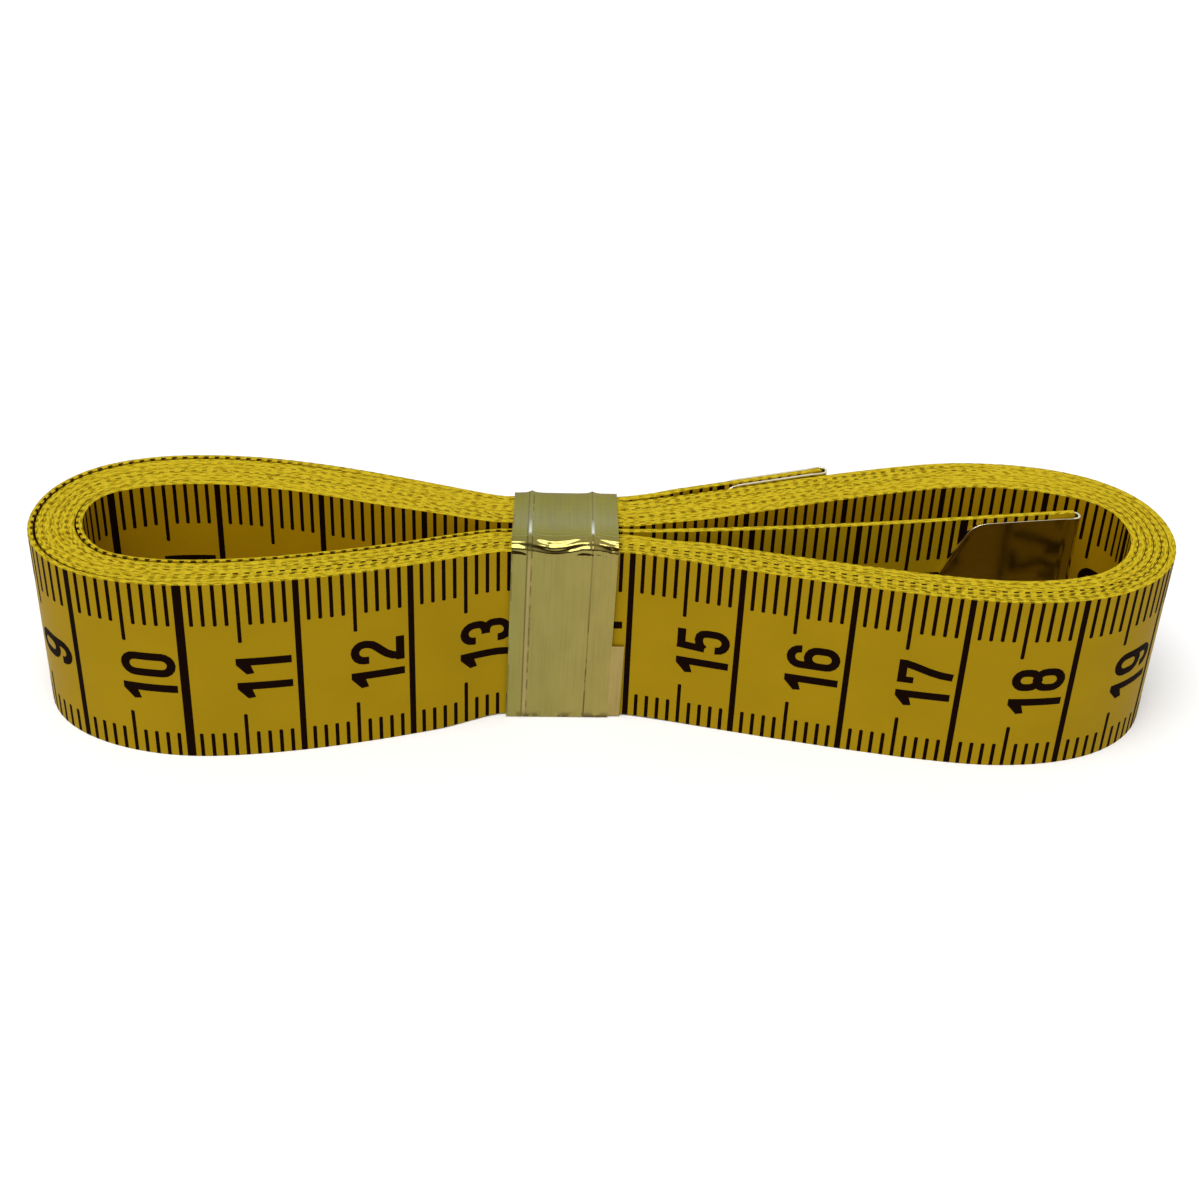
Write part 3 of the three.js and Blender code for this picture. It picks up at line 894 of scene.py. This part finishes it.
def joined(strokes):
    """Points and triangles of overlapping outlines taken together."""
    points = []
    loops = []
    for stroke in strokes:
        loops.append(list(range(len(points), len(points) + len(stroke))))
        points += [Vector(p) for p in stroke]
    cuts = []
    for height in np.arange(CUT, FIGURE_HEIGHT, CUT):
        cuts.append((len(points), len(points) + 1))
        points += [Vector((-CUT_PAST, height)), Vector((FIGURE_WIDTH + CUT_PAST, height))]
    places, _, faces, _, _, sources = delaunay_2d_cdt(points, cuts, loops, INSIDE_OUTLINES, CLOSENESS)
    kept = [face for face, source in zip(faces, sources) if source]
    used = sorted({k for face in kept for k in face})
    number = {k: n for n, k in enumerate(used)}
    flat = np.array([places[k] for k in used])
    triangles = []
    for face in kept:
        a, b, c = (flat[number[k]] for k in face)
        left_handed = (b[0] - a[0]) * (c[1] - a[1]) < (b[1] - a[1]) * (c[0] - a[0])
        triangles.append(tuple(number[k] for k in (reversed(face) if left_handed else face)))
    return flat, triangles


DRAWN = [joined(strokes) for strokes in FIGURES]
print("triangles in each figure:", [len(triangles) for _, triangles in DRAWN])

# %% [markdown]
# A number stands just before its line and reads upwards: its figures are turned a quarter turn, so their
# tops point back along the scale. The scale runs on both faces, from opposite ends, and both are printed
# the same way.

# %% Print the scale
FIGURE_GAP = 0.5
FIGURE_ADVANCE = FIGURE_WIDTH + FIGURE_GAP
ONE_ADVANCE = 2.54
NUMBER_MIDDLE = 8.4  # above the lower edge
BASELINE = 0.68  # from the middle of the line to the foot of the figures
NUMBER_ROOM = 6  # that a number needs before its line


def figure_places(first, last):
    """For each figure, its places on the scale in millimetres: reading and height."""
    places = {figure: [] for figure in range(10)}
    for centimetre in range(1, LAST_CENTIMETRE + 1):
        if not first + NUMBER_ROOM < 10 * centimetre < last:
            continue
        figures = [int(c) for c in str(centimetre)]
        advances = [ONE_ADVANCE if figure == 1 else FIGURE_ADVANCE for figure in figures]
        up = NUMBER_MIDDLE - (sum(advances) - FIGURE_GAP) / 2
        for figure, advance in zip(figures, advances):
            places[figure].append((10 * centimetre - BASELINE, up))
            up += advance
    return places


def scale(name, first, last, outer):
    """All the ink on one face of the tape, between two distances from its outer tip."""
    ends = [first - OUTER_ZERO, last - OUTER_ZERO] if outer else [INNER_ZERO - last, INNER_ZERO - first]
    low, high = (end / MM for end in ends)
    margin = TENTH_LINE_WIDTH / MM / 2
    lots = []
    for shape, readings in marks(math.ceil(low + margin), math.floor(high - margin)):
        lots.append((shape, [tuple(range(len(shape)))], [(r * MM, 0) for r in readings]))
    for figure, places in figure_places(low, high).items():
        flat, triangles = DRAWN[figure]
        quarter_turned = np.column_stack([-flat[:, 1], flat[:, 0]]) * MM
        lots.append((quarter_turned, triangles, [(a * MM, b * MM) for a, b in places]))
    points, faces, count = [], [], 0
    for shape, pattern, places in lots:
        if places:
            more, made = plates(shape, pattern, places, outer)
            faces += [tuple(k + count for k in f) for f in made]
            points.append(more)
            count += len(more)
    return new_piece(name, np.vstack(points), faces, [PRINTING_INK])


def both_scales(name, first, last):
    """The ink on both faces of one stretch of the tape; its name has a gap for the face."""
    return [scale(name.format(face), first, last, face == "outer") for face in ("outer", "inner")]


wound_scales = both_scales("{}_face_scale", OUTER_SEAM, INNER_SEAM)
outer_end_scales = both_scales("outer_end_{}_scale", 0, OUTER_SEAM)
inner_end_scales = both_scales("inner_end_{}_scale", INNER_SEAM, TAPE_LENGTH)
print("ink faces:", [len(ink.data.polygons) for ink in wound_scales])

# %% [markdown]
# ## What moves with what
#
# The wound tape and its ink ride on the hank. The free ends' cloth and ink are set in place where they
# lie, and the imported tape parts are hidden. A hinge alone would break the cloth at its root.

# %% Ride on the hank
OUTER_BEND = 4.6 * MM  # along the hank, where an end goes over to its own body
INNER_BEND = 16 * MM
ENDS = [
    ("outer_end", OUTER_SEAM, OUTER_BEND, [outer_end, *outer_end_scales]),
    ("inner_end", INNER_SEAM, INNER_BEND, [inner_end, *inner_end_scales]),
]

for piece in [wound_tape, *wound_scales]:
    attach(piece, "hank")
for body, seam, bend, pieces in ENDS:
    root = Vector(on_tape(seam, 0.0, 0.0))
    for piece in pieces:
        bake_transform(piece)
for piece, node in ((wound_tape, "tape_hank"), (outer_end, "outer_tape_end"), (inner_end, "inner_tape_end")):
    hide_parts(node)
stretches = (OUTER_SEAM, INNER_SEAM - OUTER_SEAM, TAPE_LENGTH - INNER_SEAM)
print("outer end, hank and inner end:", [round(float(stretch) / MM, 1) for stretch in stretches], "mm")

# %% [markdown]
# ## Gold band
#
# The band is a strip of metallised film, drawn tight round the waist and lapped on the front. Film folds
# sharply but never evenly: two creases run round it, and the fold at the top of the front is crushed. It is
# a sheet swept round the waist, moved in and out along its normal by those creases.

# %% Path round the waist
BAND_WIDTH = 9.45 * MM
BAND_PLACE = 0.1 * MM  # along the hank
BAND_SKEW = 1.3 * MM  # along the hank, from the first end of the strip to its last
BAND_GAP = 0.06 * MM  # from the tape to the film, above
FRONT_GAP = 0.15 * MM  # in front, so that it slides onto the flaring loop
BACK_GAP = 0.37 * MM  # behind, where the outer end stands off and lifts the film
FILM = 0.1 * MM
GLUE = 0.04 * MM
LAP = FILM + GLUE
CORNER = 0.12 * MM
FOLD_ROUND = 1.2 * MM
FOLD_MIDDLE = 0.3 * FOLD_ROUND  # in from the top and the front of the fold to the middle of its round
FOLD_GAP = 0.05 * MM  # in front, where the film bulges at its fold
FOLD_RISE = 0.9 * MM
FIRST_END = 8.1 * MM  # height of the strip's first end, under the lap
FILM_STEP = 0.3 * MM
FOLD_STEP = 0.06 * MM  # closer rows at the fold
FOLD_SPAN = 2.5 * MM  # on both sides of it


def band_path():
    """Inner line of the strip in the plane across the hank: y and z, from its first end to its last."""
    back = BACK_WAIST + BACK_PITCH / 2 + BACK_GAP
    front = -(FRONT_WAIST + FRONT_GAP)
    under = FILM
    over = NECK_LIFT + TAPE_WIDTH + BAND_GAP
    crest = over + FOLD_RISE
    flat = front - LAP
    fold = flat - FOLD_GAP
    low = crest - FOLD_ROUND
    top = [(back - CORNER, over), (0, over), (fold / 3, crest), (fold + FOLD_ROUND, crest)]
    drop = [(fold, low), (fold, low - FOLD_ROUND), (flat, low - FOLD_ROUND), (flat, low - 2 * FOLD_ROUND)]
    points = [(front, FIRST_END)]
    points += arc(front + CORNER, under + CORNER, CORNER, CORNER, 180, 270)
    points += arc(back - CORNER, under + CORNER, CORNER, CORNER, 270, 360)
    points += arc(back - CORNER, over - CORNER, CORNER, CORNER, 0, 90)
    points += curve(*top, steps=12)[1:-1]
    points += arc(fold + FOLD_ROUND, low, FOLD_ROUND, FOLD_ROUND, 90, 180, steps=16)
    points += curve(*drop)[1:]
    points.append((flat, FILM / 2))
    return np.array(points), np.array((fold + FOLD_MIDDLE, crest - FOLD_MIDDLE))


corners, fold_place = band_path()
strip_run = run_length(corners)
strip_length = strip_run[-1]
fold_run = strip_run[np.argmin(np.linalg.norm(corners - fold_place, axis=1))]
fold_rows = np.arange(fold_run - FOLD_SPAN, fold_run + FOLD_SPAN, FOLD_STEP)
band_rows = np.unique(np.concatenate([strip_run, fold_rows, np.arange(0, strip_length, FILM_STEP)]))
band_line = rows_at(band_rows, strip_run, corners)
print("strip length", round(strip_length / MM, 1), "mm, fold at", round(fold_run / MM, 1), "mm")

# %% [markdown]
# Metallised film is a tinted mirror. Handling has scratched it along its length and dulled it in patches.
# Painted shade lies in dark lines along both feet of the left rib and along the right rib, with a painted
# shadow along the foot of the front lap; a broken dark line runs near the left edge. A painted highlight
# runs along the ribs' crests just behind the fold, and painted reflections make the top face greener and
# the front of the left rib pinker. One even gold would look like plastic, so each of these is a mask over
# the tint, on a map in millimetres across and along the strip.

# %% Finish of the film
FILM_MAP = "film"  # millimetres across and along the strip
RIBS = [(-3.12, 0.26, 0.32), (2.45, 0.22, 0.32)]  # place across, height, spread in millimetres
SHADE_AND_EDGE_LINES = [-4.66, -3.34, -2.92]  # across the strip: a dark line near the left edge, then painted shade along both feet of the left rib
# painted shade in a darker, partly dashed line along the right rib
DASHED_SHADE_LINE = 2.45
DARK_LINE_WIDTH, CREST_WIDTH, RIB_WIDTH = 0.09, 0.17, 0.21
FOLD_AT = fold_run / MM
LAST_END = strip_length / MM
UNDER_LAP = (FIRST_END / MM + 0.5, FIRST_END / MM + 2)
TOP_FACE = ((-10, -9), (-1.2, -0.5))  # millimetres past the fold, as the next three
FRONT_FACE = (0.5, 1.5)
DASHED_SHADE_PART = (5, 9)
CREST_HIGHLIGHT_PART = ((-4.2, -1.6), (-1.3, -0.9))
GOLD = [(0.272, 0.247, 0.07, 1), (0.33, 0.264, 0.077, 1)]  # from the strip's left edge to its right
LAPPED_GOLD = (0.38, 0.28, 0.1, 1)
# the top face's greener tone is a painted reflection
TOP_REFLECTION_GOLD = (0.30, 0.29, 0.02, 1)
# the pinker tone down the front of the left rib is a painted reflection
RIB_REFLECTION_GOLD = (0.44, 0.32, 0.16, 1)
DULL_GOLD = (0.22, 0.185, 0.05, 1)
# colour of the painted shade lines, the painted shadow at the foot and the dark line near the left edge
DARK_LINE_SHADE = (0.075, 0.05, 0.02, 1)
# white painted highlight along the ribs' crests just behind the fold
CREST_HIGHLIGHT = (0.85, 0.90, 0.86, 1)


def thin_line(across, place, width=DARK_LINE_WIDTH):
    return 1 - abs(across - place).clamp(0.4 * width, width)


def gold_film():
    material, bench = new_finish("gold_film")
    film, across, run = map_axes(bench, FILM_MAP)
    past_fold = run - FOLD_AT
    scratches = grain(film, 0.11, 9, 3.0)
    smudge = grain(film, 2.2, 4.5, 3.0).clamp(0.35, 0.7)
    breaks = grain(film, 1, 1.6, 2.0).clamp(0.44, 0.54)
    tint = bench.mix(across.clamp(-4.5, 4.5), *GOLD)
    tint = bench.mix(run.clamp(*UNDER_LAP), LAPPED_GOLD, tint)
    # painted reflection: the top face is tinted greener
    tint = bench.mix(0.7 * past_fold.hill(*TOP_FACE), tint, TOP_REFLECTION_GOLD)
    # painted reflection along the front of the left rib
    front_rib_reflection = past_fold.clamp(*FRONT_FACE) * thin_line(across, RIBS[0][0], RIB_WIDTH)
    tint = bench.mix(0.5 * front_rib_reflection, tint, RIB_REFLECTION_GOLD)
    dulled = bench.mix(0.3 * smudge + 0.5 * scratches.clamp(0.5, 0.8), tint, DULL_GOLD)
    edge_line, whole_line, part_line = (thin_line(across, place) for place in SHADE_AND_EDGE_LINES)
    # painted shade along the feet of the left rib, and a broken dark line near the left edge
    scuffs = (0.7 * edge_line * breaks).larger(whole_line).larger(part_line * breaks)
    dashed_shade = thin_line(across, DASHED_SHADE_LINE) * (0.4 + 0.4 * breaks * past_fold.clamp(*DASHED_SHADE_PART))
    # painted shadow along the foot of the front lap, where the film meets the floor
    foot = run.clamp(LAST_END - 0.7, LAST_END - 0.1) * breaks
    dark_lines = (0.6 * scuffs).larger(dashed_shade).larger(0.8 * foot)
    left_crest, right_crest = (thin_line(across, place, CREST_WIDTH) for place, _, _ in RIBS)
    # painted highlight on the crests of both ribs, behind the fold
    crest_highlight = past_fold.hill(*CREST_HIGHLIGHT_PART) * left_crest.larger(right_crest)
    colour = bench.mix(crest_highlight, bench.mix(dark_lines, dulled, DARK_LINE_SHADE), CREST_HIGHLIGHT)
    relief = bump(scratches, 0.1, 0.03 * MM)
    gloss = 0.06 + 0.06 * smudge + 0.06 * scratches + 0.3 * dark_lines
    close_finish(bench, {"Base Color": colour, "Metallic": 1.0, "Roughness": gloss, "Normal": relief})
    return material


GOLD_FILM = gold_film()
print("made", GOLD_FILM.name)

# %% [markdown]
# A crease stands up as a narrow ridge, and the crushed fold is dents and small pleats. A cloth simulation
# would crumple the film in its own places, so the lift is a written sum: ridges, dents, pleats and a slight
# ripple. The film stays flat near the floor and under the lap.

# %% Creases of the film
CRUSH_HEIGHT = 0.1 * MM
CRUSH_REACH = 1.3 * MM
PLEAT_HEIGHT = 0.03 * MM
PLEAT_PITCH = 0.55  # millimetres
RIPPLE = 0.012 * MM
FLOOR_EASE = (0.3 * MM, 2 * MM)  # heights between which the creases grow
LAP_EASE = (FIRST_END, FIRST_END + 4 * MM)  # the same along the strip
FILM_COLUMNS = 110
FILM_CREASE = 50  # degrees

band_across = np.linspace(-BAND_WIDTH / 2, BAND_WIDTH / 2, FILM_COLUMNS + 1)
band_tangent = unit_tangents(band_line)
band_out = np.column_stack([band_tangent[:, 1], -band_tangent[:, 0]])
off_the_floor = smooth(band_line[:, 1], *FLOOR_EASE) * smooth(band_rows, *LAP_EASE)
near_fold = np.exp(-(((band_rows - fold_run) / CRUSH_REACH) ** 2))


def uneven(across, run, layer):
    """Noise at a place on the film; each layer is a pattern of its own."""
    return noise.noise(Vector((across, run, layer)))


def film_lift(row, across):
    """How far the film stands off its path at one place."""
    across = across / MM
    run = band_rows[row] / MM
    ribs = MM * sum(height * math.exp(-abs(across - place) / spread) for place, height, spread in RIBS)
    ripple = RIPPLE * uneven(across / 0.9, run / 7, 3.1)
    dents = uneven(across / 2, run / 1.3, 0.7) + 0.35 * uneven(across / 0.8, run / 0.8, 5.2)
    wander = uneven(across / 2.8, 2.6, 9.4)
    pleat = math.cos(math.tau * ((run - FOLD_AT) / PLEAT_PITCH + wander))
    crumple = CRUSH_HEIGHT * abs(dents) + PLEAT_HEIGHT * pleat + 0.4 * ribs
    return off_the_floor[row] * (ribs + near_fold[row] * crumple) + ripple


def grid(rows, columns, flipped=False):
    """Faces between rows of points, turned to one side or, flipped, to the other."""
    corner = (np.arange(rows - 1)[:, None] * columns + np.arange(columns - 1)).ravel()
    quads = np.column_stack([corner, corner + columns, corner + columns + 1, corner + 1])
    return [tuple(quad) for quad in (quads[:, [0, 3, 2, 1]] if flipped else quads).tolist()]


def film_strip():
    """The strip as a closed sheet: its inner and outer faces, joined round the rim."""
    rows, columns = len(band_line), len(band_across)
    lifts = np.array([[film_lift(row, across) for across in band_across] for row in range(rows)])
    shift = BAND_PLACE + BAND_SKEW * (0.5 - band_rows / strip_length)
    x = SHIFT[0] + band_across[None, :] + shift[:, None]
    layers = []
    for depth in (0, FILM):
        off = (depth + lifts)[:, :, None] * band_out[:, None, :]
        y = SHIFT[1] + band_line[:, 0, None] + off[:, :, 0]
        z = band_line[:, 1, None] + off[:, :, 1]
        layers.append(np.stack([x, y, z], axis=-1).reshape(-1, 3))
    count = rows * columns
    broad, rim = thickened(grid(rows, columns), count)
    piece = new_piece("gold_film_band", np.concatenate(layers), broad + rim, [GOLD_FILM])
    flat = np.stack(np.broadcast_arrays(band_across[None, :], band_rows[:, None]), axis=-1)
    set_map(piece, FILM_MAP, flat.reshape(-1, 2)[np.concatenate(broad + rim) % count] / MM)
    soften(piece, FILM_CREASE)
    return piece


gold_band = film_strip()
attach(gold_band, "band")
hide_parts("gold_band")
print("film faces:", len(gold_band.data.polygons))

# %% [markdown]
# ## Ferrules
#
# A ferrule is one piece of plated sheet. Rolling leaves fine lines along such a sheet and pressing leaves
# shallow dents, so the metal mirrors softly and unevenly. Solid noise gives both without a map. The cut
# rims have brighter tones of the same finish: a painted highlight along the rims.

# %% Finish of the plated sheet
PLATING = [(0.50, 0.45, 0.34, 1), (0.66, 0.61, 0.48, 1)]
# brighter tones for the cut rims: a painted highlight along them
CUT_RIM_HIGHLIGHT = [(0.78, 0.72, 0.50, 1), (0.92, 0.87, 0.66, 1)]
ROLLED = (0.2, 0.2, 9)  # draws the noise out into lines


def plated_sheet(name, tones):
    """Rolled and plated steel between two tones, with fine lines along the sheet and shallow dents."""
    material, bench = new_finish(name)
    place = in_millimetres(bench)
    scuffs = mottle(place, 1.1, 3.0)
    lines = mottle(place.scaled(ROLLED), 1.0, 2.0)
    dents = mottle(place, 0.25, 1.0)
    colour = bench.mix(0.5 * scuffs + 0.5 * lines.clamp(0.3, 0.7), *tones)
    relief = bump(0.6 * dents + 0.03 * lines, 0.3, 0.1 * MM)
    gloss = 0.08 + 0.07 * scuffs + 0.07 * lines
    close_finish(bench, {"Base Color": colour, "Metallic": 1.0, "Roughness": gloss, "Normal": relief})
    return material


PLATED_SHEET = plated_sheet("plated_sheet", PLATING)
# the same finish in brighter tones, as a painted highlight on the rims and their bevels
CUT_EDGE_HIGHLIGHT = plated_sheet("cut_edge_highlight", CUT_RIM_HIGHLIGHT)
print("made", PLATED_SHEET.name, "and", CUT_EDGE_HIGHLIGHT.name)

# %% [markdown]
# The sheet is folded over the tape's end and pressed flat, with its free edges cut to a blunt nose. As flat
# sheet it is a strip whose length changes over its height, so the mesh is a grid laid along that strip and
# then folded: the nose needs no cutting. A bevel rounds the rims.

# %% Fold a ferrule
FERRULE_HEIGHT = TAPE_WIDTH - 0.6 * MM
FERRULE_SHOULDER = 10.0 * MM
FERRULE_NOSE = 5 * MM
FERRULE_ROUND = 1.4 * MM
FERRULE_SHEET = 0.32 * MM
NOSE_REACH = 13.05 * MM
RIM_ROUND = 0.04 * MM
RIM_STEPS = 3
RIM_ANGLE = math.radians(50)  # sharper edges than this are rounded
FERRULE_HOLLOW = 0.3 * MM  # from the middle of the fold to the inside
BEAD_RISE = 0.06 * MM  # the fold stays a little rounder than the pressed cheeks
BEAD_HOLLOW = 0.16 * MM  # and its sheet is stretched thinner
BEAD_FROM, BEAD_TO = 1.1 * MM, 0.6 * MM
OUTER_SET, INNER_SET = 0.2 * MM, -0.1 * MM  # how far a ferrule sits above the tape's middle
SIGHT = 5 * MM  # back along the tape, for the direction of its tip
CHEEK_ROW = 0.1 * MM
CHEEK_COLUMNS = 14
BEAD_COLUMNS = 8
FOLD_COLUMNS = 10
PLATED, CUT_RIM = 0, 1


def cheek_edge():
    """The free edge from the middle of the nose to the shoulder: distance from the fold, and height."""
    nose = np.array((NOSE_REACH, FERRULE_NOSE / 2))
    shoulder = np.array((FERRULE_SHOULDER, FERRULE_HEIGHT / 2))
    slope = (shoulder - nose) / np.linalg.norm(shoulder - nose) * FERRULE_ROUND
    flat = np.array((FERRULE_ROUND, 0))
    rise = np.array((0, FERRULE_ROUND))
    low = bezier([nose - rise, nose - rise / 3, nose + slope / 3, nose + slope], steps=8)
    high = bezier([shoulder - slope, shoulder - slope / 3, shoulder - flat / 3, shoulder - flat], steps=10)
    return np.vstack([[(NOSE_REACH, 0)], low, high])


def folded_row(reach, inside, rise):
    """Plan of one row of the sheet: along one cheek, round the fold and back along the other."""
    bead = np.linspace(-BEAD_FROM, 0, BEAD_COLUMNS + 1)[1:-1]
    back = np.concatenate([np.linspace(-reach, -BEAD_FROM, CHEEK_COLUMNS + 1), bead])
    cheek = np.column_stack([back, inside + rise * smooth(back, -BEAD_FROM, -BEAD_TO)])
    angles = np.linspace(-math.pi / 2, math.pi / 2, FOLD_COLUMNS + 1)
    fold = (inside + rise) * np.column_stack([np.cos(angles), np.sin(angles)])
    return np.vstack([cheek * (1, -1), fold, cheek[::-1]])


def folded_sheet(name, tip, heading):
    edge = cheek_edge()
    rows = np.unique(np.round(edge[:, 1] / CHEEK_ROW)) * CHEEK_ROW
    heights = np.concatenate([-rows[:0:-1], rows])
    reaches = np.interp(np.abs(heights), edge[:, 1], edge[:, 0])
    ahead = (math.cos(heading), math.sin(heading))
    aside = (-math.sin(heading), math.cos(heading))
    points = []
    for inside, rise in ((FERRULE_HOLLOW, BEAD_HOLLOW), (FERRULE_HOLLOW + FERRULE_SHEET, BEAD_RISE)):
        for height, reach in zip(heights, reaches):
            plan = tip[:2] + folded_row(reach, inside, rise) @ np.array((ahead, aside))
            points.append(np.column_stack([plan, np.full(len(plan), tip[2] + height)]))
    columns = len(plan)
    broad, rim = thickened(grid(len(heights), columns, flipped=True), len(heights) * columns)
    piece = new_piece(name, points, broad + rim, [PLATED_SHEET, CUT_EDGE_HIGHLIGHT])
    piece.data.polygons.foreach_set("material_index", [PLATED] * len(broad) + [CUT_RIM] * len(rim))
    rounded = piece.modifiers.new("rounded_rims", "BEVEL")
    rounded.width = RIM_ROUND
    rounded.segments = RIM_STEPS
    rounded.angle_limit = RIM_ANGLE
    rounded.material = CUT_RIM
    piece.data.shade_smooth()
    return piece


def tip_of(distance, inward, above):
    """Place of a tape's tip, a little above its middle, and the direction that it points in."""
    points = on_tape(np.array([distance, inward]), np.full(2, TAPE_WIDTH / 2 + above), np.zeros(2))
    ahead = points[0] - points[1]
    return points[0], math.atan2(ahead[1], ahead[0])


outer_ferrule = folded_sheet("outer_end_ferrule", *tip_of(0, SIGHT, OUTER_SET))
inner_ferrule = folded_sheet("inner_end_ferrule", *tip_of(TAPE_LENGTH, TAPE_LENGTH - SIGHT, INNER_SET))
FERRULES = [
    (outer_ferrule, "outer_end", "outer_ferrule"),
    (inner_ferrule, "inner_end", "inner_ferrule"),
]
for piece, body, node in FERRULES:
    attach(piece, body)
    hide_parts(node)
print("ferrule faces:", len(inner_ferrule.data.polygons))

# %% [markdown]
# ## Floor and light
#
# The photograph is a plain studio picture on white, so the floor is a pale paper. A floor as bright as it
# looks would throw too much light up, so it is white to the camera and in mirrors, and a little darker to
# other rays.

# %% Floor
FLOOR_HALF = 3.0  # metres
PAPER = [(0.60, 0.60, 0.60, 1), (0.63, 0.63, 0.63, 1)]
WHITE = (1, 1, 1, 1)


def ray_is(bench, *kinds):
    """1 for the light path's rays of these kinds, 0 for the others."""
    found = [bench.node("ShaderNodeLightPath", {}, {}, output=f"Is {kind} Ray") for kind in kinds]
    return sum(found[1:], found[0]).clamp(0, 1)


def pale_floor():
    material, bench = new_finish("pale_floor")
    paper = mottle(bench.node("ShaderNodeTexCoord", {}, {}, output="Object"), 40.0, 2.0)
    seen = ray_is(bench, "Camera", "Glossy", "Transmission")
    colour = bench.mix(seen, bench.mix(paper, *PAPER), WHITE)
    close_finish(bench, {"Base Color": colour, "Roughness": 0.9, "Specular IOR Level": 0.0})
    return material


square = [(x * FLOOR_HALF, y * FLOOR_HALF, 0) for x, y in ((-1, -1), (1, -1), (1, 1), (-1, 1))]
floor = new_piece("floor", square, [(0, 1, 2, 3)], [pale_floor()])
print("floor", 2 * FLOOR_HALF, "m wide")

# %% [markdown]
# The light is soft: one broad lamp above and a bright room all round, at a level where a colour renders
# about as it is written. Metal shows what stands round it, so mirrors see a pale backdrop above and behind,
# and a dark room in front. A modelled studio would do the same with more to render.

# %% Lamp and room light
ROOM_LIGHT = (0.4, 0.4, 0.4, 1)
DARK_ROOM = (0.075, 0.045, 0.02, 1)
BACKDROP = (0.82, 0.82, 0.82, 1)
TO_BACKDROP = (0, 0.5, 0.87)
BACKDROP_FADE = (-0.15, 0.45)
LAMP_STRENGTH = 2.4
LAMP_SPREAD = math.radians(45)
LAMP_PLACE = Vector((-0.1, -0.2, 0.6))

world = bpy.data.worlds.new("room")
world.use_nodes = True
room = Shade(world.node_tree)
world.node_tree.nodes.clear()
sockets = {0: room.node("ShaderNodeTexCoord", {}, {}, output="Generated"), 1: TO_BACKDROP}
facing = room.node("ShaderNodeVectorMath", {"operation": "DOT_PRODUCT"}, sockets, output="Value")
mirrored = room.mix(facing.clamp(*BACKDROP_FADE), DARK_ROOM, BACKDROP)
colour = room.mix(ray_is(room, "Glossy", "Transmission"), ROOM_LIGHT, mirrored)
colour = room.mix(ray_is(room, "Camera"), colour, WHITE)
background = room.node("ShaderNodeBackground", {}, {"Color": colour, "Strength": 1.0})
room.node("ShaderNodeOutputWorld", {}, {"Surface": background})
bpy.context.scene.world = world

lamp = bpy.data.objects.new("soft_lamp", bpy.data.lights.new("soft_lamp", "SUN"))
lamp.data.energy = LAMP_STRENGTH
lamp.data.angle = LAMP_SPREAD
lamp.location = LAMP_PLACE
lamp.rotation_euler = (-LAMP_PLACE).to_track_quat("-Z", "Y").to_euler()
bpy.context.scene.collection.objects.link(lamp)
bpy.context.scene.view_settings.view_transform = "Standard"
print("lamp", LAMP_STRENGTH, "W per square metre")
